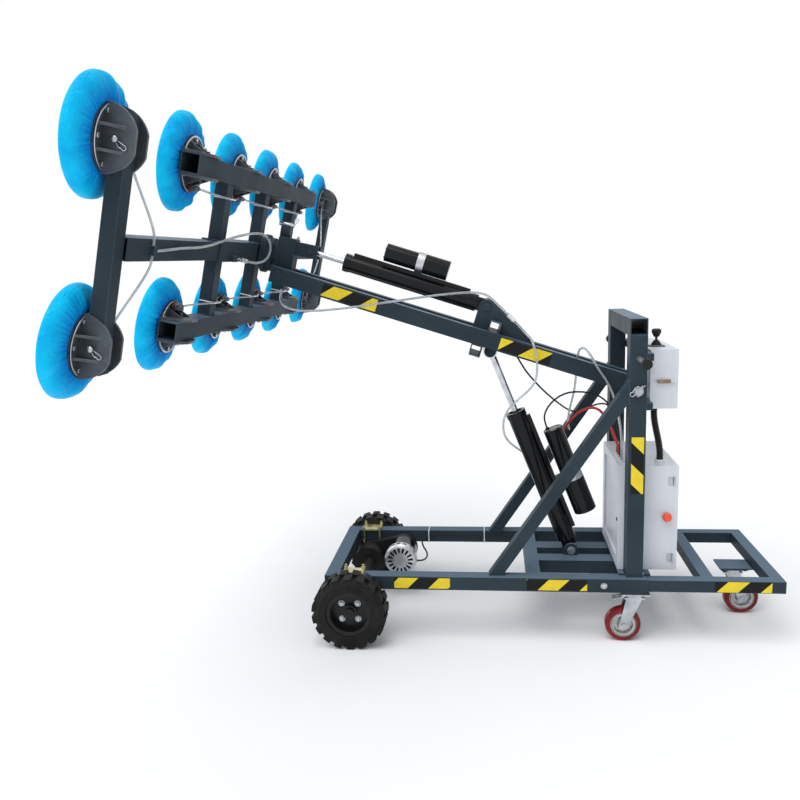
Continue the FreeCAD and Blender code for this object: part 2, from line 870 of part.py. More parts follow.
# Control box on the posts: open at the back, with a ring on top for the joystick.
control_length = d.control_back - d.control_front
control_case = block(
    "control_case",
    (control_length, 2 * d.control_half, d.control_height),
    (-d.control_back, -d.control_half, control_base),
)
control_room = block(
    "control_room",
    (
        control_length - d.cabinet_wall + d.overrun,
        2 * d.control_half - 2 * d.cabinet_wall,
        d.control_height - 2 * d.cabinet_wall,
    ),
    (-d.control_back - d.overrun, d.cabinet_wall - d.control_half, control_base + d.cabinet_wall),
)
stick_ring = bar("stick_ring", d.stick_ring, d.stick_ring_height, (-d.stick_place, d.stick_side, control_top))
node("control_box", cut("control", fuse("control_whole", [control_case, stick_ring]), [control_room]), MAST)
latch_base = control_base + d.latch_rise - d.latch_width / 2
keeper_start = (
    -d.control_back - d.door_gap - d.keeper_length,
    d.control_half,
    latch_base,
)
keeper = block("keeper", (d.keeper_length, d.latch_depth, d.latch_width), keeper_start)
control_door = box_door(
    "lid", d.control_back, d.control_half, control_base, control_top, d.control_door, -1, control_heights
)
node("control_door", fuse("lid", control_door + [keeper]), MAST)

# Joystick: a ball that rests over its ring, a stem and a knob.
ball_place = d.stick_ring_height + d.door_gap + d.stick_ball
stick_ball = doc.addObject("Part::Sphere", "stick_ball")
bind(stick_ball, "Radius", d.stick_ball)
put(stick_ball, (-d.stick_place, d.stick_side, control_top + ball_place))
stick_start = (-d.stick_place, d.stick_side, control_top + ball_place)
stick_stem = bar("stick_stem", d.stick_radius, d.stick_length, stick_start)
knob_outline = [
    (ZERO, ZERO),
    (ZERO, d.stick_knob * KNOB_FOOT_SHARE),
    (d.stick_knob_length * KNOB_BELLY_SHARES[0], d.stick_knob),
    (d.stick_knob_length * KNOB_BELLY_SHARES[1], d.stick_knob),
    (d.stick_knob_length, d.stick_knob * KNOB_TOP_SHARE),
    (d.stick_knob_length, ZERO),
]
knob_start = (-d.stick_place, d.stick_side, control_top + ball_place + d.stick_length * KNOB_SEAT_SHARE)
stick_knob = put(turned("stick_knob", knob_outline), knob_start, "y", -QUARTER)
node("joystick", fuse("stick", [stick_ball, stick_stem, stick_knob]), MAST)

# Hinges and the draw latch on the sides of the boxes.
hardware = []
hinge_rows = [
    ("cabinet", d.cabinet_back, cabinet_half, 1, cabinet_heights),
    ("control", d.control_back, d.control_half, -1, control_heights),
]
for box_name, back, half, sign, heights in hinge_rows:
    for index, height in enumerate(heights):
        knuckle_y = sign * (half + d.hinge_radius)
        bottom = height - d.hinge_length / 2
        knuckle = bar(f"knuckle_{box_name}_{index}", d.hinge_radius, d.hinge_length, (-back, knuckle_y, bottom))
        leaf_start = half if sign > 0 else -half - d.hinge_plate
        leaf_size = (d.hinge_leaf, d.hinge_plate, d.hinge_length)
        leaf = block(f"leaf_{box_name}_{index}", leaf_size, (-back, leaf_start, bottom))
        hardware.append(fuse(f"hinge_{box_name}_{index}", [knuckle, leaf]))
latch_start = (-d.control_back, d.control_half, latch_base)
hardware.append(block("latch", (d.latch_length, d.latch_depth, d.latch_width), latch_start))
node("box_hardware", group("hardware", hardware), MAST)


def ribbed_hose():
    """A corrugated hose between the boxes: straight ends, slanting ribs, and a ruled loft less its bore."""
    boss_top = d.cabinet_top + d.conduit_boss_height
    foot = FreeCAD.Vector(-d.conduit_foot.number, d.conduit_side.number, boss_top.number)
    head = FreeCAD.Vector(-d.conduit_top.number, d.conduit_side.number, control_base.number)
    straight = AXES["z"] * d.conduit_straight.number
    low = foot + straight
    high = head - straight
    rib_radii = (d.conduit_groove, d.conduit_groove, d.conduit_radius, d.conduit_radius)
    rings = [(foot, d.conduit_groove)]
    for index in range(RIB_COUNT):
        for share, radius in zip(RIB_SHARES, rib_radii):
            rings.append((low + (high - low) * ((index + share) / RIB_COUNT), radius))
    rings.append((high, d.conduit_groove))
    rings.append((head, d.conduit_groove))
    bores = [(centre, d.conduit_bore) for centre in (foot, low, high, head)]
    lofts = []
    for stations in (rings, bores):
        wires = [Part.Wire([Part.makeCircle(radius.number, centre, AXES["z"])]) for centre, radius in stations]
        lofts.append(Part.makeLoft(wires, True, True))
    return lofts[0].cut(lofts[1])


conduit = doc.addObject("Part::Feature", "hose")
conduit.Shape = ribbed_hose()
node("conduit", conduit, MAST)

# Drive axle: a housing between the wheels with saddles under the rails, a gearbox and a motor.
axle_z = d.wheel_radius
axle_tube = bar("axle_tube", d.axle_radius, 2 * d.axle_reach, (d.axle_place, -d.axle_reach, axle_z), "y")
saddle = block(
    "saddle",
    (2 * d.axle_radius, d.rail_side, rail_base - axle_z),
    (d.axle_place - d.axle_radius, rail_inner, axle_z),
)
gearbox_length = d.gearbox_far - d.gearbox_near
gearbox = bar("gearbox", d.gearbox_radius, gearbox_length, (d.axle_place, -d.gearbox_far, axle_z), "y")
motor_x = d.axle_place - d.motor_back
motor_z = axle_z + d.motor_rise
flange_length = d.gearbox_far - d.motor_flange
flange = bar("motor_flange_round", d.drive_motor_radius, flange_length, (motor_x, -d.gearbox_far, motor_z), "y")
gear_arm = plate(
    "gear_arm",
    [
        (d.axle_place, axle_z - d.gearbox_radius),
        (d.axle_place, axle_z + d.gearbox_radius),
        (motor_x, motor_z + d.drive_motor_radius),
        (motor_x, motor_z - d.drive_motor_radius),
    ],
    -d.gearbox_far,
    flange_length,
)
shaft_bore = bar(
    "shaft_bore",
    d.shaft_radius + d.shaft_clearance,
    2 * (d.wheel_side - d.axle_reach) + d.overrun + d.shaft_reach,
    (d.axle_place, d.wheel_side - d.shaft_reach - d.rim_lip, axle_z),
    "y",
)
housing = fuse("housing", [axle_tube, saddle, mirror("saddle_other", saddle), gearbox, flange, gear_arm])
node("transaxle", cut("axle_housing", housing, [shaft_bore, mirror("shaft_bore_other", shaft_bore)]), MAST)
motor_length = d.motor_flange - d.drive_motor_near - d.bell_length
motor_case = bar("motor_case", d.drive_motor_radius, motor_length, (motor_x, -d.motor_flange, motor_z), "y")
bell_start = (motor_x, -d.drive_motor_near - d.bell_length, motor_z)
bell = bar("motor_bell", d.bell_radius, d.bell_length, bell_start, "y")
motor_outlet_start = (
    motor_x - d.drive_motor_radius - d.motor_outlet_stand,
    -d.motor_outlet_side,
    motor_z - d.motor_outlet_drop,
)
motor_outlet = bar("motor_outlet", d.outlet_radius, d.drive_motor_radius, motor_outlet_start, "x")
node("drive_motor", fuse("motor", [motor_case, bell, motor_outlet]), MAST)

# Axle clamps: a plate over each rail, one under the axle and four bolts with nuts.
clamp_side = rail_half - d.rail_side / 2
clamp_corner = (d.axle_place - d.clamp_length / 2, clamp_side - d.clamp_width / 2, d.rail_top)
clamp_size = (d.clamp_length, d.clamp_width, d.clamp_thickness)
lower_plate = axle_z - d.axle_radius - d.clamp_thickness
clamp_parts = [
    block("clamp_top", clamp_size, clamp_corner),
    block("clamp_under", clamp_size, (clamp_corner[0], clamp_corner[1], lower_plate)),
]
for along in (1, -1):
    for across in (1, -1):
        bolt_x = d.axle_place + along * (d.clamp_length / 2 - d.clamp_inset)
        bolt_y = clamp_side + across * (d.clamp_width / 2 - d.clamp_inset)
        tag = f"{along}_{across}".replace("-", "m")
        bolt_length = d.rail_top + d.clamp_thickness + d.clamp_bolt_stand - lower_plate
        clamp_parts.append(bar(f"clamp_bolt_{tag}", d.clamp_bolt, bolt_length, (bolt_x, bolt_y, lower_plate)))
        nut_start = (bolt_x, bolt_y, d.rail_top + d.clamp_thickness)
        nut = doc.addObject("Part::Prism", f"clamp_nut_{tag}")
        bind(nut, "Circumradius", d.clamp_nut)
        bind(nut, "Height", d.clamp_nut_height)
        clamp_parts.append(put(nut, nut_start))
node("axle_clamps", pair("clamps", fuse("clamp", clamp_parts)), MAST)

# Drive wheels: a turned rim with its stub shaft and bolts, and a tyre with two rows of lugs.
rim_inner = d.rim_seat - d.rim_wall
disc_front = d.rim_disc_place + d.rim_disc
rim_outline = [
    (-d.shaft_reach, ZERO),
    (-d.shaft_reach, d.shaft_radius),
    (-d.hub_back, d.shaft_radius),
    (-d.hub_back, d.hub_boss),
    (d.rim_disc_place, d.hub_boss),
    (d.rim_disc_place, rim_inner),
    (-d.rim_half, rim_inner),
    (-d.rim_half, d.rim_flange),
    (d.rim_lip - d.rim_half, d.rim_flange),
    (d.rim_lip - d.rim_half, d.rim_seat),
    (d.rim_half - d.rim_lip, d.rim_seat),
    (d.rim_half - d.rim_lip, d.rim_flange),
    (d.rim_half, d.rim_flange),
    (d.rim_half, rim_inner),
    (disc_front, rim_inner),
    (disc_front, d.hub_boss),
    (d.hub_front, d.hub_boss),
    (d.hub_front, d.hub_cap),
    (d.hub_front + d.hub_cap_length, d.hub_cap),
    (d.hub_front + d.hub_cap_length, ZERO),
]
wheel_start = (d.axle_place, d.wheel_side, axle_z)
rim_parts = [put(turned("rim_turned", rim_outline), wheel_start, "z", QUARTER)]
for index in range(WHEEL_BOLT_COUNT):
    angle = as_size(FULL_TURN * (index + 0.5) / WHEEL_BOLT_COUNT)
    bolt_x = d.axle_place + d.wheel_bolt_circle * cosine(angle)
    bolt_z = axle_z + d.wheel_bolt_circle * sine(angle)
    bolt_start = (bolt_x, d.wheel_side + disc_front, bolt_z)
    rim_parts.append(bar(f"wheel_bolt_{index}", d.wheel_bolt, d.wheel_bolt_length, bolt_start, "y"))
rim = fuse("rim", rim_parts)
bead = d.rim_half - d.rim_lip - d.tyre_gap
tyre_outline = [
    (-bead, d.rim_seat + d.tyre_gap),
    (-bead, d.rim_flange + d.tyre_gap),
    (-d.tyre_half, d.rim_flange + d.rim_lip),
    (-d.tyre_half, d.tyre_shoulder),
    (-d.tyre_half * TYRE_FLAT_SHARE, d.tyre_crown),
    (d.tyre_half * TYRE_FLAT_SHARE, d.tyre_crown),
    (d.tyre_half, d.tyre_shoulder),
    (d.tyre_half, d.rim_flange + d.rim_lip),
    (bead, d.rim_flange + d.tyre_gap),
    (bead, d.rim_seat + d.tyre_gap),
]
carcass = put(turned("carcass", tyre_outline), wheel_start, "z", QUARTER)
lugs = []
for row_name, sign, stagger_share in (("out", 1, 0.0), ("in", -1, 0.5)):
    for index in range(LUG_COUNT):
        angle = as_size(FULL_TURN * (index + 1 - stagger_share) / LUG_COUNT)
        lug_box = doc.addObject("Part::Box", f"lug_{row_name}_{index}")
        bind(lug_box, "Length", d.lug_length)
        bind(lug_box, "Width", d.lug_width)
        bind(lug_box, "Height", d.lug_depth)
        reach = d.wheel_radius - d.lug_depth
        side = d.wheel_side + sign * d.lug_side - d.lug_width / 2
        x = d.axle_place + reach * sine(angle) - d.lug_length / 2 * cosine(angle)
        z = axle_z + reach * cosine(angle) + d.lug_length / 2 * sine(angle)
        put(lug_box, (x, side, z), "y", angle)
        lugs.append(lug_box)
tread_limit = bar(
    "tread_limit", d.wheel_radius, 2 * d.tyre_half, (d.axle_place, d.wheel_side - d.tyre_half, axle_z), "y"
)
tread = doc.addObject("Part::MultiCommon", "tread")
tread.Shapes = [group("lug_rows", lugs), tread_limit]
tyre = fuse("tyre", [carcass, tread])
node("drive_rim_left", group("rim_left", [rim]), MAST)
node("drive_rim_right", mirror("rim_right", rim), MAST)
node("drive_tyre_left", group("tyre_left", [tyre]), MAST)
node("drive_tyre_right", mirror("tyre_right", tyre), MAST)


def caster_plate(name, x, y, top):
    """The fixed plate of a caster with its four bolt heads below."""
    corner = (x - d.plate_length / 2, y - d.plate_width / 2, top - d.plate_thickness)
    parts = [block(name + "_sheet", (d.plate_length, d.plate_width, d.plate_thickness), corner)]
    for along in (1, -1):
        for across in (1, -1):
            bolt_x = x + along * (d.plate_length / 2 - d.plate_bolt_inset)
            bolt_y = y + across * (d.plate_width / 2 - d.plate_bolt_inset)
            start = (bolt_x, bolt_y, top - d.plate_thickness - d.plate_bolt_height)
            tag = f"{name}_bolt_{along}_{across}".replace("-", "m")
            parts.append(bar(tag, d.plate_bolt, d.plate_bolt_height, start))
    return fuse(name, parts)


def caster(name, x, y, top, sign):
    """Fork and wheel of a caster whose wheel trails along X by the sign."""
    race_top = top - d.plate_thickness - d.race_gap
    race_base = race_top - d.race_height
    trail = sign * d.caster_trail
    wheel_x = x + trail
    wheel_z = d.caster_radius
    leg_start = d.caster_width / 2 + d.leg_clearance
    fork_half = leg_start + d.leg_thickness
    crown_corner = (x - d.crown_length / 2, y - fork_half, race_base - d.crown_thickness)
    parts = [
        bar(name + "_race", d.race_radius, d.race_height, (x, y, race_base)),
        block(name + "_crown", (d.crown_length, 2 * fork_half, d.crown_thickness), crown_corner),
        bar(name + "_axle", d.caster_bore, 2 * fork_half, (wheel_x, y - fork_half, wheel_z), "y"),
    ]
    for side, across in (("left", 1), ("right", -1)):
        start = leg_start if across > 0 else -fork_half
        leg_y = y + start
        leg_corners = [
            (x - d.leg_top / 2, race_base),
            (x + d.leg_top / 2, race_base),
            (wheel_x + d.leg_radius, wheel_z),
            (wheel_x - d.leg_radius, wheel_z),
        ]
        parts.append(plate(f"{name}_leg_{side}", leg_corners, leg_y, d.leg_thickness))
        parts.append(bar(f"{name}_boss_{side}", d.leg_radius, d.leg_thickness, (wheel_x, leg_y, wheel_z), "y"))
        head_y = y + fork_half if across > 0 else y - fork_half - d.axle_head_length
        head_start = (wheel_x, head_y, wheel_z)
        parts.append(bar(f"{name}_head_{side}", d.axle_head, d.axle_head_length, head_start, "y"))
    fork = fuse(name + "_fork", parts)
    wheel_half = d.caster_width / 2
    hub_half = wheel_half + d.leg_clearance - d.race_gap
    bore = d.caster_bore + d.shaft_clearance
    wheel_outline = [
        (-hub_half, bore),
        (-hub_half, d.leg_radius),
        (-wheel_half * CASTER_WEB_SHARE, d.leg_radius * CASTER_BOSS_SHARE),
        (-wheel_half * CASTER_WEB_SHARE, d.caster_hub_radius),
        (-wheel_half, d.caster_hub_radius),
        (-wheel_half, d.caster_radius * CASTER_EDGE_SHARE),
        (-wheel_half * CASTER_FLAT_SHARE, d.caster_radius),
        (wheel_half * CASTER_FLAT_SHARE, d.caster_radius),
        (wheel_half, d.caster_radius * CASTER_EDGE_SHARE),
        (wheel_half, d.caster_hub_radius),
        (wheel_half * CASTER_WEB_SHARE, d.caster_hub_radius),
        (wheel_half * CASTER_WEB_SHARE, d.leg_radius * CASTER_BOSS_SHARE),
        (hub_half, d.leg_radius),
        (hub_half, bore),
    ]
    wheel = put(turned(name + "_wheel", wheel_outline), (wheel_x, y, wheel_z), "z", QUARTER)
    return fork, wheel


# Two casters under the posts and one under the back of the rear frame.
caster_side = rail_half - d.rail_side / 2
node("caster_plates", pair("plates", caster_plate("plate_left", ZERO, caster_side, rail_base)), MAST)
fork_left, wheel_left = caster("caster_left", ZERO, caster_side, rail_base, 1)
node("caster_fork_left", group("fork_left", [fork_left]), MAST)
node("caster_wheel_left", group("rolling_left", [wheel_left]), MAST)
node("caster_fork_right", mirror("fork_right", fork_left), MAST)
node("caster_wheel_right", mirror("wheel_right", wheel_left), MAST)
rear_base = d.rail_top - d.rail_side / 2 - d.rear_side / 2
rear_plate_top = rear_base - d.carrier_thickness
fork_rear, wheel_rear = caster("caster_rear", -d.rear_caster, ZERO, rear_plate_top, -1)
node("caster_fork_rear", group("fork_back", [fork_rear]), MAST)
node("caster_wheel_rear", group("rolling_rear", [wheel_rear]), MAST)

# Brake pedals in front of the casters under the posts, each on a pin at the fork's crown.
pedal_pin_x = d.crown_length / 2 + d.pedal_pin + d.pin_clearance
pedal_z = rail_base - d.plate_thickness - d.race_gap - d.race_height - d.crown_thickness / 2
pedal_pin_start = (pedal_pin_x, caster_side - d.pedal_width / 2, pedal_z)
pedal_pin = bar("pedal_pin", d.pedal_pin, d.pedal_width, pedal_pin_start, "y")
pedal_leaf = plate(
    "pedal_leaf",
    [
        (pedal_pin_x, pedal_z + d.pedal_thickness / 2),
        (pedal_pin_x, pedal_z - d.pedal_thickness / 2),
        (pedal_pin_x + d.pedal_reach, pedal_z - d.pedal_drop - d.pedal_thickness),
        (pedal_pin_x + d.pedal_reach, pedal_z - d.pedal_drop),
    ],
    caster_side - d.pedal_width / 2,
    d.pedal_width,
)
pedal = fuse("pedal", [pedal_pin, pedal_leaf])
node("brake_pedal_left", group("pedal_left", [pedal]), MAST)
node("brake_pedal_right", mirror("pedal_right", pedal), MAST)

# Rear frame: two tubes that slide in the rails, two cross tubes and the carrier of the rear caster.
rear_outer = rail_half - d.rail_side / 2 + d.rear_side / 2
rear_inner = rear_outer - d.rear_side
rear_length = d.rear_reach + d.rear_insert
rear_room = d.rear_side - 2 * d.rear_wall
side_size = (rear_length, d.rear_side, d.rear_side)
side_bar = block("rear_side_bar", side_size, (-d.rear_reach, rear_inner, rear_base))
side_room = block(
    "rear_side_room",
    (rear_length - d.rear_wall + d.overrun, rear_room, rear_room),
    (d.rear_wall - d.rear_reach, rear_inner + d.rear_wall, rear_base + d.rear_wall),
)
rear_solids = [side_bar, mirror("rear_side_other", side_bar)]
rear_rooms = [side_room, mirror("rear_room_other", side_room)]
for place, middle in (("front", -d.rear_cross), ("back", d.rear_side / 2 - d.rear_reach)):
    corner = (middle - d.rear_side / 2, -rear_inner, rear_base)
    rear_solids.append(block(f"rear_cross_{place}", (d.rear_side, 2 * rear_inner, d.rear_side), corner))
    room_corner = (middle - rear_room / 2, -rear_inner - d.rear_wall, rear_base + d.rear_wall)
    room_size = (rear_room, 2 * rear_inner + 2 * d.rear_wall, rear_room)
    rear_rooms.append(block(f"rear_cross_room_{place}", room_size, room_corner))
carrier = block(
    "carrier",
    (d.carrier_length, d.carrier_width, d.carrier_thickness),
    (-d.rear_reach, -d.carrier_width / 2, rear_base - d.carrier_thickness),
)
rear_plate = caster_plate("plate_rear", -d.rear_caster, ZERO, rear_plate_top)
rear_tubes = cut("rear_tubes", fuse("rear_whole", rear_solids), rear_rooms)
node("rear_frame", group("rear", [rear_tubes, carrier, rear_plate]), MAST)

# Boom: two rails, side by side, from behind the mast to the head.
boom_base = -d.boom_height / 2
boom_tube = tube(
    "boom_tube",
    (d.boom_tail + d.boom_length, d.boom_rail_width, d.boom_height),
    (-d.boom_tail, d.boom_gap / 2, boom_base),
    d.boom_wall,
    "x",
)
boom_holes = []
for name, station in (("pivot", ZERO), ("head", d.head_station)):
    start = (station, d.boom_gap / 2 - d.overrun, ZERO)
    length = d.boom_rail_width + 2 * d.overrun
    boom_holes.append(bar(f"boom_hole_{name}", d.pivot_radius + d.pin_clearance, length, start, "y"))
node("boom_rails", pair("boom_pair", cut("boom_rail", boom_tube, boom_holes)), BOOM)

# Ties of the boom: one tube over the rails, one under them and a sleeve round the pivot.
tie_size = (d.tie_side, 2 * boom_outer, d.tie_side)
upper_corner = (d.upper_tie_station - d.tie_side / 2, -boom_outer, d.boom_height / 2)
lower_corner = (d.lower_tie_station - d.tie_side / 2, -boom_outer, boom_base - d.tie_side)
upper_tie = tube("upper_tie", tie_size, upper_corner, d.tie_wall, "y")
lower_tie = tube("lower_tie", tie_size, lower_corner, d.tie_wall, "y")
sleeve_outer = bar("sleeve_outer", d.sleeve_radius, d.boom_gap, (ZERO, -d.boom_gap / 2, ZERO), "y")
sleeve_bore = bar(
    "sleeve_bore", d.pivot_radius + d.pin_clearance, 2 * d.boom_gap, (ZERO, -d.boom_gap, ZERO), "y"
)
sleeve = cut("sleeve", sleeve_outer, [sleeve_bore])

# Brackets of the boom: plates with gussets for the tilt actuator, lugs for the lift actuator.
bracket_start = d.boom_gap / 2 + d.bracket_inset
bracket_back, bracket_top = [d.bracket_width * share for share in BRACKET_SHARES]
bracket_plate = plate(
    "bracket_plate",
    [
        (d.tilt_pin_station + d.bracket_width / 2, d.boom_height / 2),
        (d.tilt_pin_station + d.bracket_width / 2, d.tilt_pin_rise),
        (d.tilt_pin_station - bracket_back, d.tilt_pin_rise + bracket_top),
        (d.gusset_foot, d.boom_height / 2 + d.gusset_lip),
        (d.gusset_foot, d.boom_height / 2),
    ],
    bracket_start,
    d.bracket_thickness,
)
bracket_round = bar(
    "bracket_round",
    d.bracket_width / 2,
    d.bracket_thickness,
    (d.tilt_pin_station, bracket_start, d.tilt_pin_rise),
    "y",
)
boom_pin_hole = d.boom_pin_radius + d.pin_clearance
bracket_hole = bar(
    "bracket_hole", boom_pin_hole, d.boom_gap, (d.tilt_pin_station, ZERO, d.tilt_pin_rise), "y"
)
tie_notch = block("tie_notch", tie_size, upper_corner)
bracket = cut("bracket", fuse("bracket_whole", [bracket_plate, bracket_round]), [bracket_hole, tie_notch])
lift_lug_plate = block(
    "lift_lug_plate",
    (2 * d.lift_lug_radius, d.bracket_thickness, d.lift_pin_drop - d.boom_height / 2),
    (d.lift_pin_station - d.lift_lug_radius, bracket_start, -d.lift_pin_drop),
)
lift_lug_round = bar(
    "lift_lug_round",
    d.lift_lug_radius,
    d.bracket_thickness,
    (d.lift_pin_station, bracket_start, -d.lift_pin_drop),
    "y",
)
lift_lug_above = block(
    "lift_lug_above",
    (2 * d.lift_lug_radius, d.bracket_thickness, d.lift_lug_radius),
    (d.lift_pin_station - d.lift_lug_radius, bracket_start, boom_base),
)
lift_lug_hole = bar(
    "lift_lug_hole", boom_pin_hole, d.boom_gap, (d.lift_pin_station, ZERO, -d.lift_pin_drop), "y"
)
lift_lug_whole = fuse("lift_lug_whole", [lift_lug_plate, lift_lug_round])
lift_lug = cut("lift_lug", lift_lug_whole, [lift_lug_above, lift_lug_hole])
outlet_near = d.boom_gap / 2 - d.boom_outlet_length
outlet_places = {
    "tilt": (d.boom_outlet, outlet_near, ZERO),
    "arch": (d.arch_station, -d.boom_gap / 2, d.arch_rise),
    "under": (d.under_station, outlet_near, -d.under_drop),
}
boom_outlets = []
for place, start in outlet_places.items():
    boom_outlets.append(bar(f"boom_outlet_{place}", d.outlet_radius, d.boom_outlet_length, start, "y"))

# The union where the two lengths of the vacuum hose meet, lying on the gusset's edge.
gusset_run = d.tilt_pin_station - bracket_back - d.gusset_foot
gusset_rise = d.tilt_pin_rise + bracket_top - d.boom_height / 2 - d.gusset_lip
gusset_angle = slope_angle(gusset_rise, gusset_run)
union_back = d.union_radius * sine(gusset_angle) + d.union_length / 2 * cosine(gusset_angle)
union_up = d.union_radius * cosine(gusset_angle) - d.union_length / 2 * sine(gusset_angle)
union_start = (
    d.gusset_foot + gusset_run * UNION_SHARE - union_back,
    bracket_start + d.bracket_thickness / 2,
    d.boom_height / 2 + d.gusset_lip + gusset_rise * UNION_SHARE + union_up,
)
hose_union = bar("hose_union", d.union_radius, d.union_length, union_start)
put(hose_union, union_start, "y", QUARTER + -gusset_angle)
ties = [upper_tie, lower_tie, sleeve]
brackets = [pair("tilt_brackets", bracket), pair("lift_lugs", lift_lug), hose_union]
node("boom_brackets", group("brackets", ties + brackets + boom_outlets), BOOM)


def headed_pin(name, radius, head_radius, half, x, z):
    """A pin across the boom with a head on each end."""
    shank = bar(name + "_shank", radius, 2 * half, (x, -half, z), "y")
    head = bar(name + "_head", head_radius, d.pin_head_length, (x, half, z), "y")
    return fuse(name, [shank, head, mirror(name + "_head_other", head)])


bracket_outer = bracket_start + d.bracket_thickness
node(
    "boom_pins",
    group(
        "pins_of_boom",
        [
            headed_pin(
                "tilt_pin", d.boom_pin_radius, d.boom_pin_head, bracket_outer, d.tilt_pin_station, d.tilt_pin_rise
            ),
            headed_pin(
                "lift_pin", d.boom_pin_radius, d.boom_pin_head, bracket_outer, d.lift_pin_station, -d.lift_pin_drop
            ),
            headed_pin("head_pin", d.pivot_radius, d.pin_head_radius, boom_outer, d.head_station, ZERO),
        ],
    ),
    BOOM,
)


def actuator(name, frame, span, body, rod, eyes, pins, motor_lengths, motor_radii, outlets):
    """A screw actuator along its own X axis: body with rear eye, motor beside it, and rod."""
    body_length, tube_radius, cap_radius, duct_top = body
    rod_radius, rod_length = rod
    rear_radius, rear_half, rod_eye_radius, rod_eye_half = eyes
    rear_pin, rod_pin = pins
    motor_offset, gear_start, gear_length, motor_length_here = motor_lengths
    gear_radius, band_radius, motor_radius = motor_radii
    hole_half = rear_half + d.overrun
    body_parts = [
        bar(name + "_eye", rear_radius, 2 * rear_half, (ZERO, -rear_half, ZERO), "y"),
        block(
            name + "_neck",
            (d.neck_length, rear_radius, 2 * rear_radius),
            (ZERO, -rear_radius / 2, -rear_radius),
        ),
        bar(name + "_tube", tube_radius, body_length - d.neck_length, (d.neck_length, ZERO, ZERO), "x"),
        bar(name + "_cap", cap_radius, d.cap_length, (body_length - d.cap_length, ZERO, ZERO), "x"),
        block(
            name + "_duct",
            (body_length - d.duct_start - d.duct_end_gap, d.duct_width, duct_top),
            (d.duct_start, -d.duct_width / 2, ZERO),
        ),
    ]
    body_cuts = [
        bar(name + "_eye_hole", rear_pin + d.pin_clearance, 2 * hole_half, (ZERO, -hole_half, ZERO), "y"),
        bar(name + "_bore", d.actuator_bore, body_length, (d.bore_start, ZERO, ZERO), "x"),
    ]
    body_outlets, motor_outlets = outlets
    body_whole = fuse(name + "_whole", body_parts + body_outlets)
    node(f"{name}_body", cut(name + "_housing", body_whole, body_cuts), frame)
    band_start = gear_start + gear_length
    motor_start = band_start + d.band_length
    motor_parts = [
        bar(name + "_gear", gear_radius, gear_length, (gear_start, ZERO, motor_offset), "x"),
        bar(name + "_band", band_radius, d.band_length, (band_start, ZERO, motor_offset), "x"),
        bar(name + "_drive", motor_radius, motor_length_here, (motor_start, ZERO, motor_offset), "x"),
        block(
            name + "_link",
            (d.band_length, d.link_width, motor_offset - duct_top),
            (band_start, -d.link_width / 2, duct_top),
        ),
    ]
    node(f"{name}_motor", fuse(name + "_power", motor_parts + motor_outlets), frame)
    rod_start = span - rod_length
    rod_parts = [
        bar(name + "_stem", rod_radius, rod_length, (rod_start, ZERO, ZERO), "x"),
        bar(name + "_rod_eye", rod_eye_radius, 2 * rod_eye_half, (span, -rod_eye_half, ZERO), "y"),
    ]
    rod_hole_half = rod_eye_half + d.overrun
    rod_hole = bar(
        name + "_rod_hole", rod_pin + d.pin_clearance, 2 * rod_hole_half, (span, -rod_hole_half, ZERO), "y"
    )
    node(f"{name}_rod", cut(name + "_plunger", fuse(name + "_rod_whole", rod_parts), [rod_hole]), frame)


lift_motor_end = d.lift_gear_start + d.lift_gear_length + d.band_length + d.lift_motor_length
lift_outlet_start = (lift_motor_end, ZERO, d.lift_motor_offset - d.lift_outlet_inset)
lift_cable_outlet = bar("lift_cable_outlet", d.outlet_radius, d.rail_outlet_length, lift_outlet_start, "x")
actuator(
    "lift",
    LIFT,
    lift_span,
    (d.lift_body_length, d.lift_tube_radius, d.lift_cap_radius, d.lift_duct_top),
    (d.lift_rod_radius, d.lift_rod_length),
    (d.lift_eye_radius, d.centre_gap / 2 - d.eye_side_gap, d.lift_rod_eye_radius, d.lift_rod_eye_width / 2),
    (d.foot_pin_radius, d.boom_pin_radius),
    (d.lift_motor_offset, d.lift_gear_start, d.lift_gear_length, d.lift_motor_length),
    (d.lift_gear_radius, d.lift_band_radius, d.lift_motor_radius),
    ([], [lift_cable_outlet]),
)
actuator(
    "tilt",
    TILT,
    tilt_span,
    (d.tilt_body_length, d.tilt_tube_radius, d.tilt_cap_radius, d.tilt_duct_top),
    (d.tilt_rod_radius, d.tilt_rod_length),
    (d.tilt_eye_radius, bracket_start - d.eye_side_gap, d.tilt_rod_eye_radius, d.tilt_rod_eye_width / 2),
    (d.boom_pin_radius, d.lever_pin_radius),
    (d.tilt_motor_offset, d.tilt_gear_start, d.tilt_gear_length, d.tilt_motor_length),
    (d.tilt_gear_radius, d.tilt_band_radius, d.tilt_motor_radius),
    ([], []),
)

# Tilt head: an upright tube on the boom's end, a lever with a slot for the rod, and the hub.
upright_back = -d.hub_forward - d.upright_side / 2
upright_base = -d.hub_up - d.upright_below
upright = tube(
    "upright",
    (d.upright_side, d.upright_side, d.upright_below + d.upright_above),
    (upright_back, -d.upright_side / 2, upright_base),
    d.upright_wall,
    "z",
)
head_hole = bar(
    "head_hole", d.pivot_radius + d.pin_clearance, d.boom_gap, (-d.hub_forward, -d.boom_gap / 2, -d.hub_up), "y"
)
lever_length = d.lever_pin_back - d.upright_side / 2 + d.lever_end
lever_middle = d.lever_pin_up - d.hub_up
lever_start = upright_back - lever_length
lever = tube(
    "lever",
    (lever_length, d.lever_side, d.lever_side),
    (lever_start, -d.lever_side / 2, lever_middle - d.lever_side / 2),
    d.lever_wall,
    "x",
)
slot_half = d.tilt_rod_eye_width / 2 + d.fork_clearance
lever_slot = block(
    "lever_slot",
    (lever_length - d.lever_wall + d.overrun, 2 * slot_half, 2 * d.lever_side),
    (lever_start - d.overrun, -slot_half, lever_middle - d.lever_side),
)
lever_pin_x = -d.hub_forward - d.lever_pin_back
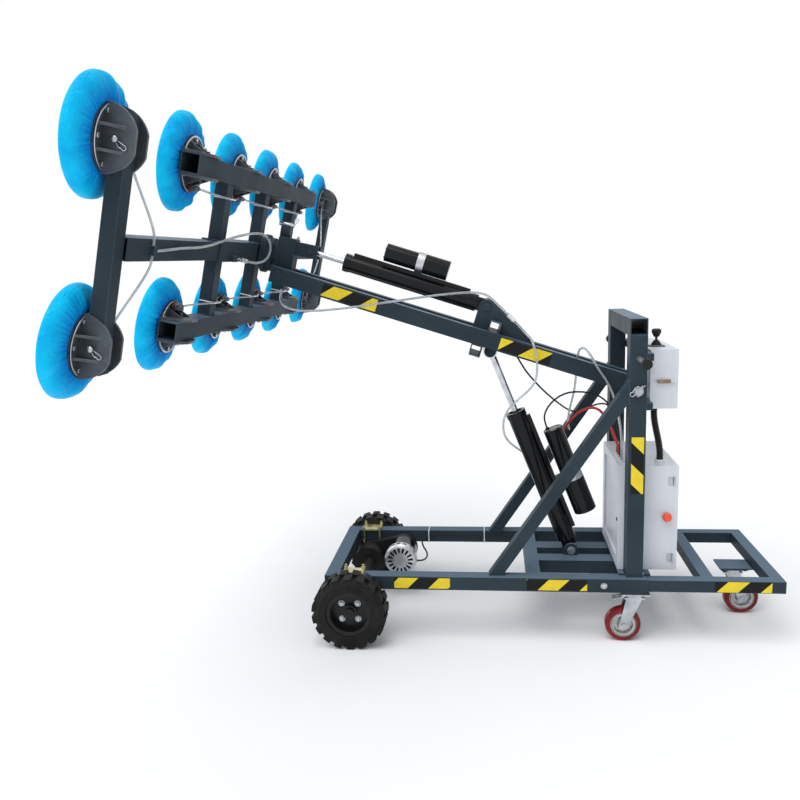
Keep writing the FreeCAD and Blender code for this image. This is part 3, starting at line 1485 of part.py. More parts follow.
lever_hole = bar(
    "lever_hole",
    d.lever_pin_radius + d.pin_clearance,
    2 * d.lever_side,
    (lever_pin_x, -d.lever_side, lever_middle),
    "y",
)
hub_back = upright_back + d.upright_side
hub_neck = bar("hub_neck", d.hub_neck_radius, d.hub_neck_length, (hub_back, ZERO, ZERO), "x")
hub_start = hub_back + d.hub_neck_length
hub_flange = bar("hub_flange", d.hub_radius, d.hub_length, (hub_start, ZERO, ZERO), "x")
hub_bore = bar(
    "hub_bore",
    d.spindle_radius + d.spindle_clearance,
    d.spindle_length + d.overrun,
    (hub_start + d.hub_length - d.spindle_length, ZERO, ZERO),
    "x",
)
upright_foot = block(
    "upright_foot",
    (d.upright_side, d.upright_side, d.upright_wall),
    (upright_back, -d.upright_side / 2, upright_base),
)
nipple = bar("nipple", d.nipple_radius, d.nipple_length, (-d.hub_forward, ZERO, upright_base - d.nipple_length))
head_whole = fuse("head_whole", [upright, upright_foot, nipple, lever, hub_neck, hub_flange])
head_cuts = [head_hole, lever_slot, lever_hole, hub_bore]
lever_pin_half = d.lever_side / 2 + d.lever_pin_overhang
lever_pin_start = (lever_pin_x, -lever_pin_half, lever_middle)
lever_pin = bar("lever_pin", d.lever_pin_radius, 2 * lever_pin_half, lever_pin_start, "y")
node("tilt_head", group("head", [cut("head_weldment", head_whole, head_cuts), lever_pin]), HEAD)

# Cup frame: the centre tube with its turntable and spindle.
centre_back = -d.frame_depth - d.centre_side / 2
centre_tube = tube(
    "centre_tube",
    (d.centre_side, 2 * d.centre_reach, d.centre_side),
    (centre_back, -d.centre_reach, -d.centre_side / 2),
    d.centre_wall,
    "y",
)
turntable_start = hub_start + d.hub_length + d.turntable_gap
turntable = bar("turntable", d.turntable_radius, d.turntable_length, (turntable_start, ZERO, ZERO), "x")
stand_length = centre_back - turntable_start - d.turntable_length
stand = bar(
    "turntable_stand", d.hub_neck_radius, stand_length, (turntable_start + d.turntable_length, ZERO, ZERO), "x"
)
spindle = bar(
    "spindle",
    d.spindle_radius,
    d.spindle_length,
    (turntable_start - d.spindle_length + d.turntable_gap, ZERO, ZERO),
    "x",
)
junction = block(
    "junction",
    (d.junction_depth, d.junction_width, d.junction_height),
    (
        centre_back - d.junction_depth,
        d.junction_side - d.junction_width / 2,
        -d.junction_drop - d.junction_height / 2,
    ),
)
centre_whole = fuse("centre_whole", [centre_tube, turntable, stand, spindle])
node("frame_centre", group("centre_set", [centre_whole, pair("junctions", junction)]), HEAD)

# Long beams above and below, each with the holes of its four cup pins, and three uprights.
beam_back = -d.frame_depth - d.beam_side / 2
row_shares = (-1.5, -0.5, 0.5, 1.5)
frame_tubes = []
for row_name, sign in (("upper", 1), ("lower", -1)):
    beam_corner = (beam_back, -d.beam_reach, sign * d.row_height - d.beam_side / 2)
    beam = tube(f"beam_{row_name}", (d.beam_side, 2 * d.beam_reach, d.beam_side), beam_corner, d.beam_wall, "y")
    holes = []
    for index, share in enumerate(row_shares):
        start = (-d.frame_depth, share * d.cup_pitch, sign * d.row_height - d.beam_side)
        hole_radius = d.cup_pin_radius + d.pin_clearance
        holes.append(bar(f"beam_hole_{row_name}_{index}", hole_radius, 2 * d.beam_side, start))
    frame_tubes.append(cut(f"beam_bored_{row_name}", beam, holes))
    for index, share in enumerate((-1, 0, 1)):
        upright_length = d.row_height - d.beam_side / 2 - d.centre_side / 2
        bottom = d.centre_side / 2 if sign > 0 else -d.centre_side / 2 - upright_length
        corner = (-d.frame_depth - d.upright_depth / 2, share * d.cup_pitch - d.upright_width / 2, bottom)
        size = (d.upright_depth, d.upright_width, upright_length)
        frame_tubes.append(tube(f"frame_upright_{row_name}_{index}", size, corner, d.beam_wall, "z"))
node("frame_beams", group("beams", frame_tubes), HEAD)

# Telescopic arms: an inner tube in the centre tube and an end beam across it.
arm_side = d.centre_side - 2 * d.centre_wall - 2 * d.arm_clearance
end_middle = 1.5 * d.cup_pitch + d.arm_cup_reach
arm_end = end_middle - d.end_width / 2
arm_tube = tube(
    "arm_tube",
    (arm_side, arm_end - d.arm_inner_end, arm_side),
    (-d.frame_depth - arm_side / 2, d.arm_inner_end, -arm_side / 2),
    d.arm_wall,
    "y",
)
end_beam = tube(
    "end_beam",
    (d.end_depth, d.end_width, 2 * d.end_reach),
    (-d.frame_depth - d.end_depth / 2, arm_end, -d.end_reach),
    d.end_wall,
    "z",
)
end_holes = []
for row_name, sign in (("upper", 1), ("lower", -1)):
    start = (-d.frame_depth, end_middle - d.end_width, sign * d.row_height)
    hole_radius = d.cup_pin_radius + d.pin_clearance
    end_holes.append(bar(f"end_hole_{row_name}", hole_radius, 2 * d.end_width, start, "y"))
arm_tee = block(
    "arm_tee",
    (d.arm_tee_depth, d.arm_tee_width, d.arm_tee_height),
    (
        -d.frame_depth - arm_side / 2 - d.arm_tee_depth,
        d.arm_tee_side - d.arm_tee_width / 2,
        -d.arm_tee_height / 2,
    ),
)
arm = group("arm", [arm_tube, cut("end_bored", end_beam, end_holes), arm_tee])
node("arm_left", group("arm_here", [arm]), HEAD)
node("arm_right", mirror("arm_there", arm), HEAD)

# One suction cup about the X axis, its lip at zero: cover, rubber cup, and disc with ears.
cover_neck = d.disc_radius + d.ear_gap
cover_width = d.cover_radius - cover_neck
cover_inner = d.cover_wall - d.cover_back
near_back, far_back = [d.cover_back * share for share in COVER_BACK_SHARES]
near_reach, far_reach = [cover_neck + cover_width * share for share in COVER_WIDTH_SHARES]
cover_outline = [
    (-d.cover_back, cover_neck),
    (-d.cover_back, cover_neck + d.cover_wall),
    (-near_back, near_reach),
    (-far_back, far_reach),
    (-d.cover_lip, d.cover_radius),
    (ZERO, d.cover_radius),
    (ZERO, d.cover_radius - d.cover_wall),
    (-d.cover_lip, d.cover_radius - d.cover_wall),
    (d.cover_wall - far_back, far_reach - d.cover_wall),
    (d.cover_wall - near_back, near_reach),
    (cover_inner, cover_neck + d.cover_wall),
    (cover_inner, cover_neck),
]
cover = turned("cup_cover", cover_outline)
disc_front_place = d.disc_thickness - d.disc_back
cup_outline = [
    (disc_front_place, ZERO),
    (disc_front_place, d.cup_neck),
    (disc_front_place * CUP_DEPTH_SHARES[0], d.cup_neck + d.cup_wall),
    (-d.cup_wall, d.cup_radius - d.cup_wall),
    (ZERO, d.cup_radius),
    (ZERO, d.cup_radius - d.cup_wall),
    (-d.cup_wall * CUP_LIP_SHARES[0], d.cup_radius - d.cup_wall * CUP_LIP_SHARES[1]),
    (disc_front_place * CUP_DEPTH_SHARES[1], d.cup_neck),
    (disc_front_place * CUP_DEPTH_SHARES[2], ZERO),
]
rubber = turned("cup_rubber", cup_outline)


def cup_fitting(name, grip):
    """The cast disc with two ears that grip a beam of the given thickness, ribs, bolts, port and pin."""
    disc = bar(name + "_disc", d.disc_radius, d.disc_thickness, (-d.disc_back, ZERO, ZERO), "x")
    parts = [disc]
    ear_start = grip / 2 + d.ear_gap
    for side, sign in (("over", 1), ("under", -1)):
        base = ear_start if sign > 0 else -ear_start - d.ear_thickness
        round_part = bar(f"{name}_ear_round_{side}", d.disc_radius, d.ear_thickness, (-d.disc_back, ZERO, base))
        keep = block(
            f"{name}_ear_keep_{side}",
            (d.ear_depth, 2 * d.disc_radius, d.ear_thickness),
            (-d.disc_back - d.ear_depth, -d.disc_radius, base),
        )
        ear = doc.addObject("Part::MultiCommon", f"{name}_ear_{side}")
        ear.Shapes = [round_part, keep]
        parts.append(ear)
        rib_edge = ear_start + d.ear_thickness
        for tag, place in (("a", d.rib_place), ("b", -d.rib_place)):
            rib = plate(
                f"{name}_rib_{side}_{tag}",
                [
                    (-d.disc_back, sign * rib_edge),
                    (-d.disc_back, sign * (rib_edge + d.rib_height)),
                    (-d.disc_back - d.rib_length, sign * rib_edge),
                ],
                place - d.rib_thickness / 2,
                d.rib_thickness,
            )
            parts.append(rib)
    for index in range(DISC_BOLT_COUNT):
        angle = as_size(FULL_TURN * (index + 0.5) / DISC_BOLT_COUNT)
        start = (
            -d.disc_back - d.bolt_height,
            d.bolt_circle * cosine(angle),
            d.bolt_circle * sine(angle),
        )
        parts.append(bar(f"{name}_bolt_{index}", d.bolt_radius, d.bolt_height, start, "x"))
    port_end = -d.disc_back - d.port_length
    parts.append(bar(f"{name}_port", d.port_radius, d.port_length, (port_end, ZERO, -d.port_place), "x"))
    tee_start = (port_end, -d.tee_length / 2, -d.port_place)
    parts.append(bar(f"{name}_tee", d.tee_radius, d.tee_length, tee_start, "y"))
    pin_hole = bar(
        name + "_pin_hole",
        d.cup_pin_radius + d.pin_clearance,
        2 * d.disc_radius,
        (-d.frame_depth, ZERO, -d.disc_radius),
    )
    fitting = cut(name + "_fitting", fuse(name + "_whole", parts), [pin_hole])
    pin_half = ear_start + d.ear_thickness + d.cup_pin_overhang
    pin = bar(name + "_pin", d.cup_pin_radius, 2 * pin_half, (-d.frame_depth, ZERO, -pin_half))
    return group(name + "_set", [fitting, pin])


row_fitting = cup_fitting("row_cup", d.beam_side)
end_fitting = cup_fitting("end_cup", d.end_width)
doc.recompute()


def copies(name, source, places):
    """Copies of a finished shape at (y, z) places, each turned about X by its own angle."""
    shapes = []
    for across, up, turn in places:
        shape = source.Shape.copy()
        spin = FreeCAD.Rotation(AXES["x"], turn)
        place = FreeCAD.Vector(0, as_size(across).number, as_size(up).number)
        shape.Placement = FreeCAD.Placement(place, spin).multiply(shape.Placement)
        shapes.extend(shape.Solids)
    item = doc.addObject("Part::Feature", name)
    item.Shape = Part.makeCompound(shapes)
    return item


row_places = []
left_places = []
right_places = []
for sign, turn in ((1, 0), (-1, 2 * QUARTER)):
    row_places.extend((share * d.cup_pitch, sign * d.row_height, turn) for share in row_shares)
    left_places.append((end_middle, sign * d.row_height, -QUARTER))
    right_places.append((-end_middle, sign * d.row_height, QUARTER))
for body_name, fitting, places in (
    ("frame", row_fitting, row_places),
    ("left", end_fitting, left_places),
    ("right", end_fitting, right_places),
):
    node(f"cup_discs_{body_name}", copies(f"discs_{body_name}", fitting, places), HEAD)
    node(f"cup_rubbers_{body_name}", copies(f"rubbers_{body_name}", rubber, places), HEAD)
    node(f"cup_covers_{body_name}", copies(f"covers_{body_name}", cover, places), HEAD)

# Routes of the hoses and cables, each a list of points in the frame of what carries it.
FRONT_HOSE = [
    (1604.2, 0, -65), (1602, 0, -90), (1595, 8, -116), (1572, 28, -131), (1530, 54, -134), (1470, 84, -123),
    (1392, 110, -96), (1300, 126, -58), (1205, 134, -16), (1112, 134, 28), (1018, 127, 72), (926, 112, 114),
    (838, 94, 150), (766, 77, 177), (702, 63, 186), (640, 58, 155.1), (586.5, 58, 127.2),
]
DROP_HOSE = [
    (551, 58, 108.5), (524.4, 58, 94.7), (485, 71, 71), (456, 107, 58), (436, 128, 26), (412, 130, -18),
    (395, 126, -62), (386, 116, -106), (396, 100, -152), (422, 88, -200), (448, 80, -246), (463, 80, -292),
    (458, 70, -348), (435, 50, -396), (401, 20, -427), (365, -20, -447), (331, -64, -467), (294, -103, -487),
    (252, -140, -503), (214, -173, -511), (190, -197, -512), (175.4, -216, -512.1), (175.4, -236.7, -512.1),
]
ARCH_HOSE = [
    (35, 140, 763), (35, 140, 812), (38, 138, 880), (48, 132, 945), (60, 127, 1005), (76, 123, 1055),
    (97, 122, 1102), (126, 122, 1145), (152, 121, 1188), (170, 115, 1222), (186, 98, 1244), (200, 70, 1246),
    (208, 45, 1233), (212, 26, 1211), (213.5, 13, 1189), (214, -2, 1174), (214, -20, 1170), (214, -41.7, 1170),
]
UNDER_HOSE = [
    (213.7, 41.7, 1151), (213.7, 24, 1151), (214, 10, 1145.5), (215, 1, 1131), (217, -3, 1106), (221, -4, 1055),
    (230, -22, 1003), (238, -56, 952), (240, -98, 908), (237, -142, 868), (230, -184, 834), (222.6, -214, 815),
    (222.6, -237, 815),
]
LIFT_CABLE = [
    (344.9, 0, 876.2), (353.4, 0, 898.3), (358, 6, 933), (343, 14, 974), (306, 22, 1016), (258, 30, 1042),
    (203, 40, 1047), (152, 50, 1041), (112, 62, 1024), (82, 74, 996), (60, 86, 950), (44, 94, 890),
    (35, 100, 825), (35, 100, 763),
]
TILT_CABLE = [
    (512.1, 41.7, 1261.4), (512.1, 26, 1261.4), (504, 18, 1249), (490, 17, 1226), (470, 18, 1194), (442, 8, 1143),
    (392, -18, 1079), (334, -66, 1014), (272, -130, 955), (232, -184, 920), (196, -204, 906), (158, -196, 918),
    (126, -160, 942), (98, -104, 964), (74, -40, 975), (54, -8, 950), (44, 8, 905), (38, 16, 850),
    (35, 20, 805), (35, 20, 763),
]
RED_CABLE = [
    (301.4, -237, 700), (301.4, -213, 700), (298, -190, 716), (292, -164, 744), (282, -134, 784), (266, -100, 836),
    (242, -70, 884), (206, -50, 930), (164, -40, 956), (126, -28, 960), (98, -8, 942), (78, 22, 908),
    (60, 44, 862), (43, 57, 818), (35, 60, 790), (35, 60, 763),
]
DRIVE_CABLE = [
    (972, -130, 175), (950, -130, 175), (931, -142, 179), (923, -166, 188), (930, -192, 200), (947, -213, 214),
    (957, -231, 236), (945, -243, 256), (913, -249, 267), (868, -250, 268), (800, -249, 263), (725, -250, 256),
    (640, -247, 252), (560, -242, 252), (505, -235, 255), (463, -235, 255),
]
ARM_HOSE = [
    (-80, 1268.5, 270), (-80, 1268.5, 246), (-91, 1250, 206), (-106, 1222, 156), (-121, 1193, 105),
    (-131, 1174, 66), (-135, 1165, 40), (-135, 1165, 15),
]
LOOP_HOSE = [
    (-135, 1152.7, 0), (-135, 1105, 0), (-138, 1030, 6), (-140, 930, 12), (-141, 820, 14), (-143, 720, 22),
    (-148, 640, 36), (-158, 555, 54), (-173, 470, 72), (-190, 390, 86), (-206, 316, 92), (-217, 258, 82),
    (-222, 214, 58), (-222, 192, 26), (-216, 192, -6), (-203, 214, -28), (-184, 258, -37), (-164, 312, -33),
    (-142, 362, -25), (-142, 400, -25),
]
ROW_HOSE = [
    (-80, 735.5, 213), (-80, 712, 213), (-92, 662, 208), (-114, 602, 204), (-131, 538, 201), (-132, 474, 202),
    (-115, 410, 205), (-93, 348, 209), (-80, 298, 213), (-80, 274.5, 213),
]
MIDDLE_HOSE = [
    (-80, 230.5, 213), (-80, 207, 213), (-93, 157, 208), (-115, 96, 204), (-131, 32, 201), (-132, -32, 202),
    (-115, -96, 205), (-93, -157, 209), (-80, -207, 213), (-80, -230.5, 213),
]
BEND_SHARE = 0.45


def cord(name, route, radius):
    """A round cord along straight runs joined by tangent arcs, each as large as its two runs allow."""
    points = [FreeCAD.Vector(*point) for point in route]
    edges = []
    radii = []
    start = points[0]
    for before, corner, after in zip(points, points[1:], points[2:]):
        towards = (before - corner).normalize()
        onwards = (after - corner).normalize()
        reach = BEND_SHARE * min(before.distanceToPoint(corner), corner.distanceToPoint(after))
        half_turn = (math.pi - towards.getAngle(onwards)) / 2
        radii.append(reach / math.tan(half_turn))
        bisector = (towards + onwards).normalize()
        into = corner + towards * reach
        out = corner + onwards * reach
        middle = corner + bisector * (radii[-1] / math.cos(half_turn) - radii[-1])
        edges.append(Part.LineSegment(start, into).toShape())
        edges.append(Part.Arc(into, middle, out).toShape())
        start = out
    edges.append(Part.LineSegment(start, points[-1]).toShape())
    path = Part.Wire(edges)
    section = Part.Wire([Part.makeCircle(radius.number, points[0], points[1] - points[0])])
    item = doc.addObject("Part::Feature", name)
    item.Shape = path.makePipeShell([section], True, False)
    share = item.Shape.Volume / (path.Length * math.pi * radius.number**2)
    facts = ("length", round(path.Length), "least radius", round(min(radii)), "volume share", round(share, 4))
    print(name, *facts)
    return item


def flipped(route):
    """The same route on the other side of the frame's level middle plane."""
    return [(along, across, -up) for along, across, up in route]


boom_cords = [cord("front_hose", FRONT_HOSE, d.hose_radius), cord("drop_hose", DROP_HOSE, d.hose_radius)]
node("boom_hose", group("cords_of_boom", boom_cords), BOOM)
mast_cords = [
    cord("arch_hose", ARCH_HOSE, d.hose_radius),
    cord("under_hose", UNDER_HOSE, d.hose_radius),
    cord("lift_cable", LIFT_CABLE, d.cable_radius),
    cord("tilt_cable", TILT_CABLE, d.cable_radius),
    cord("red_cable", RED_CABLE, d.red_cable_radius),
    cord("drive_cable", DRIVE_CABLE, d.cable_radius),
]
node("mast_cables", group("cords_of_mast", mast_cords), MAST)
arm_hoses = group(
    "arm_hoses",
    [
        cord("arm_hose_upper", ARM_HOSE, d.thin_hose_radius),
        cord("arm_hose_lower", flipped(ARM_HOSE), d.thin_hose_radius),
    ],
)
node("arm_hose_left", group("arm_hoses_left", [arm_hoses]), HEAD)
node("arm_hose_right", mirror("arm_hoses_right", arm_hoses), HEAD)
node("loop_hoses", pair("loops", cord("loop_hose", LOOP_HOSE, d.hose_radius)), HEAD)
row_hoses = []
for row_name, shape_of in (("upper", list), ("lower", flipped)):
    side_hose = cord(f"row_hose_{row_name}", shape_of(ROW_HOSE), d.thin_hose_radius)
    row_hoses.append(pair(f"row_hoses_{row_name}", side_hose))
    row_hoses.append(cord(f"middle_hose_{row_name}", shape_of(MIDDLE_HOSE), d.thin_hose_radius))
node("frame_hoses", group("hoses_of_frame", row_hoses), HEAD)

doc.recompute()
for item in doc.Objects:
    if "Invalid" in item.State or "Error" in item.State:
        raise RuntimeError(f"{item.Label} did not recompute: {item.State}")
for item in NODES:
    if item.Shape.isNull() or not item.Shape.isValid():
        raise RuntimeError(f"{item.Label} has no valid shape")

os.makedirs("parts", exist_ok=True)
whole = FreeCAD.BoundBox()
for item in NODES:
    item.Shape.exportStep(f"parts/{item.Label}.step")
    whole.add(item.Shape.BoundBox)
    print(item.Label, len(item.Shape.Solids), round(item.Shape.Volume))
ends = (whole.XMin, whole.XMax, whole.YMin, whole.YMax, whole.ZMin, whole.ZMax)
print("box", [round(value, 2) for value in ends])
print("lift span", lift_span.number, "tilt span", tilt_span.number)
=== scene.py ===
import json
import math

import bmesh
import bpy
import numpy as np
from mathutils import Matrix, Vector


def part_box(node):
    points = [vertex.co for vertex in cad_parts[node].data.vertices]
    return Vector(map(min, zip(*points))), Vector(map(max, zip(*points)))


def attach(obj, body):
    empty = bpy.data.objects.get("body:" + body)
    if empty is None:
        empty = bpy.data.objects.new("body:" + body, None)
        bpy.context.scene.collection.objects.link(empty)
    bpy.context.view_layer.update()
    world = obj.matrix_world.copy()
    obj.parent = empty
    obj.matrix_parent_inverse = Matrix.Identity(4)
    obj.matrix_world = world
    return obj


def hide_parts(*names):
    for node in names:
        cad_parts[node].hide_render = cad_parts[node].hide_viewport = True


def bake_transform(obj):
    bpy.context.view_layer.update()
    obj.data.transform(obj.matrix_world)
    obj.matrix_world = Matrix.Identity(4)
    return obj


# %% [markdown]
# # A glass panel lifter
# The machine is a wheeled chassis with a mast, a boom that one actuator raises, a head that another
# tilts, and a turning frame of twelve suction cups. The steelwork comes from the CAD frame and stays
# where it is. This lesson adds what CAD leaves plain: finishes, hoses, crinkled covers and fittings.

# %% Load the frame
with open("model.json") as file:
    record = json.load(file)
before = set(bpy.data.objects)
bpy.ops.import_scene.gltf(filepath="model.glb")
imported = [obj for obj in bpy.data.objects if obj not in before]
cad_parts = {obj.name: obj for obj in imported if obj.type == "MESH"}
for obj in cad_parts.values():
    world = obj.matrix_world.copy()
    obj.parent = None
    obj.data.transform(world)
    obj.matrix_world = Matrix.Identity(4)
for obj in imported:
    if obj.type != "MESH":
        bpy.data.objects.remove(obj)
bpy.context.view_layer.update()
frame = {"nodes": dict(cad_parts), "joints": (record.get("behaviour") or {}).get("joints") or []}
joints = {joint["name"]: joint for joint in frame["joints"]}

# %% [markdown]
# Every part of the machine has its own slope: the mast stands upright, the boom rises, the cup frame
# leans. It is easier to say "40 mm along the boom, 60 mm to its left" than to work out where that is in
# the room, so a small function turns such millimetres into metres in the shared frame.

# %% Frames of the mast, the boom, the cup frame and the actuators
def joint_place(name):
    """Where a joint's axis passes, in metres."""
    return np.array(joints[name]["pos_m"], float)


def slope_between(low, high):
    """The angle of the line from low to high above the level."""
    return math.atan2(high[2] - low[2], high[0] - low[0])


boom_pivot = joint_place("boom_lift")
turn_axis = joints["frame_turn"]["axis"]
MAST = (boom_pivot * (1, 0, 0), 0.0)
BOOM = (boom_pivot, slope_between(boom_pivot, joint_place("head_tilt")))
HEAD = (joint_place("frame_turn"), math.atan2(turn_axis[2], turn_axis[0]))
LIFT_FOOT = joint_place("lift_tube_swing")
TILT_FOOT = joint_place("tilt_tube_swing")
LIFT = (LIFT_FOOT, slope_between(LIFT_FOOT, joint_place("lift_ram_swing")))
TILT = (TILT_FOOT, slope_between(TILT_FOOT, joint_place("tilt_ram_swing")))


def placed(points, part):
    """Millimetres along, across and up in a part's own frame, turned by its slope and moved to its base."""
    base, slope = part
    along, across, up = np.moveaxis(np.asarray(points, float) / 1000, -1, 0)
    level = along * math.cos(slope) - up * math.sin(slope)
    height = along * math.sin(slope) + up * math.cos(slope)
    return base + np.stack([level, across, height], -1)


def heading(direction, part):
    """A direction in a part's own frame as a direction in the room."""
    return placed(direction, part) * 1000 - placed((0, 0, 0), part) * 1000


print("boom rises", round(math.degrees(BOOM[1]), 2), "cup frame leans", round(math.degrees(HEAD[1]), 2))

# %% [markdown]
# ## Camera and light
# The camera's place and turn were fitted to the picture, so the render can be laid over it. A camera's
# matrix holds its right, up and backward directions as columns, which is shorter than three angles.
# The light is soft: a wide sun from above and a pale world, at a level where a colour renders as written.

# %% Camera
EYE = placed((586.27, 3455.76, 1650.38), MAST)
YAW, PITCH, ROLL = 0.1230, 0.1811, -0.0363
SENSOR_WIDTH = 36
FOCAL_PIXELS = 765.49
PICTURE_PIXELS = 800
UPRIGHT = np.array([0, 0, 1])


def linked(name, data):
    """A new object that holds the data, put into the scene."""
    thing = bpy.data.objects.new(name, data)
    bpy.context.scene.collection.objects.link(thing)
    return thing


level_ahead = np.array([math.sin(YAW), -math.cos(YAW), 0])
level_right = np.array([-math.cos(YAW), -math.sin(YAW), 0])
ahead = math.cos(PITCH) * level_ahead - math.sin(PITCH) * UPRIGHT
above = math.sin(PITCH) * level_ahead + math.cos(PITCH) * UPRIGHT
right = math.cos(ROLL) * level_right + math.sin(ROLL) * above
top = math.cos(ROLL) * above - math.sin(ROLL) * level_right
camera_data = bpy.data.cameras.new("camera")
camera_data.sensor_width = SENSOR_WIDTH
camera_data.lens = SENSOR_WIDTH * FOCAL_PIXELS / PICTURE_PIXELS
camera = linked("camera", camera_data)
turned_eye = np.column_stack([right, top, -ahead, EYE])
camera.matrix_world = Matrix(np.vstack([turned_eye, [0, 0, 0, 1]]).tolist())
bpy.context.scene.camera = camera
bpy.context.scene.view_settings.view_transform = "Standard"
print("lens", round(camera_data.lens, 2), "mm at", np.round(EYE, 3))


# %% Small helpers for node trees
def wire(tree, kind, inputs=None, **settings):
    """A new node with its settings and its inputs, each input a value or another node's output."""
    node = tree.nodes.new(kind)
    for name, value in settings.items():
        setattr(node, name, value)
    for key, value in (inputs or {}).items():
        if isinstance(value, bpy.types.NodeSocket):
            tree.links.new(value, node.inputs[key])
        else:
            node.inputs[key].default_value = value
    return node


def maths(tree, operation, first, second=0.5):
    """The result of a Math node, such as MAXIMUM or LESS_THAN, on two values."""
    return wire(tree, "ShaderNodeMath", {0: first, 1: second}, operation=operation).outputs[0]


def vector_maths(tree, operation, first, second, output="Vector"):
    """The result of a Vector Math node on two vectors."""
    return wire(tree, "ShaderNodeVectorMath", {0: first, 1: second}, operation=operation).outputs[output]


def mixed(tree, share, tone, other):
    """A colour that goes from tone at a share of 0 to other at 1."""
    return wire(tree, "ShaderNodeMix", {0: share, 6: tone, 7: other}, data_type="RGBA").outputs[2]


def ranged(tree, value, start, end, low=0.0, high=1.0):
    """Low where the value is at start, high where it is at end, in proportion between and held beyond."""
    return wire(tree, "ShaderNodeMapRange", {0: value, 1: start, 2: end, 3: low, 4: high}).outputs[0]


def noise(tree, place, scale, detail, distortion=0.0):
    """A soft cloud of values from 0 to 1 over a place."""
    inputs = {"Vector": place, "Scale": scale, "Detail": detail, "Distortion": distortion}
    return wire(tree, "ShaderNodeTexNoise", inputs).outputs[0]


def coordinate(tree, kind):
    """The place of a point, as Object coordinates in metres or as UV."""
    return wire(tree, "ShaderNodeTexCoord").outputs[kind]


def one_of(tree, vector, number):
    """The first, second or third number of a vector, counted from 0."""
    return wire(tree, "ShaderNodeSeparateXYZ", {0: vector}).outputs[number]


# %% World, suns and floor
SKY_LIGHT = (0.52, 0.54, 0.57, 1)
SKY_SEEN = (1, 1, 1, 1)
SUNS = [("sun_above", 1.75, 50, (0.25, 0.35, 1.0)), ("sun_before_mast", 0.7, 60, (1.0, 0.4, 0.5))]
FLOOR_HALF = 40
FLOOR_LOOK = {"Base Color": (0.93, 0.93, 0.93, 1), "Roughness": 0.9, "Specular IOR Level": 0.0}


def light_level(tree):
    """1 for the camera and for rays that mirrors and glass send on, 0 for light that falls on the object."""
    path = wire(tree, "ShaderNodeLightPath").outputs
    seen = maths(tree, "MAXIMUM", path["Is Camera Ray"], path["Is Glossy Ray"])
    return maths(tree, "MAXIMUM", seen, path["Is Transmission Ray"])


world = bpy.data.worlds.new("studio")
bpy.context.scene.world = world
world.use_nodes = True
sky = world.node_tree
sky.nodes.clear()
sky_tone = mixed(sky, light_level(sky), SKY_LIGHT, SKY_SEEN)
sky_light = wire(sky, "ShaderNodeBackground", {"Color": sky_tone, "Strength": 1.0})
wire(sky, "ShaderNodeOutputWorld", {"Surface": sky_light.outputs[0]})
for lamp_name, strength, spread, way in SUNS:
    lamp = bpy.data.lights.new(lamp_name, "SUN")
    lamp.energy = strength
    lamp.angle = math.radians(spread)
    lamp_object = linked(lamp_name, lamp)
    lamp_object.rotation_mode = "QUATERNION"
    lamp_object.rotation_quaternion = Matrix.Identity(3).col[2].rotation_difference(way)
floor_corners = [(FLOOR_HALF * x, FLOOR_HALF * y, 0) for x, y in ((-1, -1), (1, -1), (1, 1), (-1, 1))]
floor_mesh = bpy.data.meshes.new("floor")
floor_mesh.from_pydata(floor_corners, [], [(0, 1, 2, 3)])
floor = linked("floor", floor_mesh)
floor_finish = bpy.data.materials.new("pale_floor")
floor_finish.use_nodes = True
for socket, value in FLOOR_LOOK.items():
    floor_finish.node_tree.nodes["Principled BSDF"].inputs[socket].default_value = value
floor_mesh.materials.append(floor_finish)
print("floor and lights stand ready")


# %% [markdown]
# ## Finishes
# Paint, plating and castings are never one flat colour. Each finish here mixes two close tones with a
# soft noise, lets the roughness wander a little, and gives the surface a fine bump: orange peel on
# paint, sand on castings, brushing on rods. A Bevel node compares the true normal with a rounded one,
# which finds edges without any modelling, and gives them a brighter tone: partly wear, partly a painted
# highlight. Faces that look up can take a paler tone, a painted reflection of the sky.

# %% A finish from two tones
def linear(*tone):
    """A screen colour from 0 to 255 as the linear colour that shaders use."""
    share = np.array(tone, float) / 255
    return (*np.where(share <= 0.04045, share / 12.92, ((share + 0.055) / 1.055) ** 2.4), 1.0)


EDGE_RADIUS = 0.003
GRAIN_HEIGHT = 0.001
DUST_SCALE = 3.1


def face_normal(tree):
    """The direction in which a point's face looks."""
    return wire(tree, "ShaderNodeNewGeometry").outputs["Normal"]


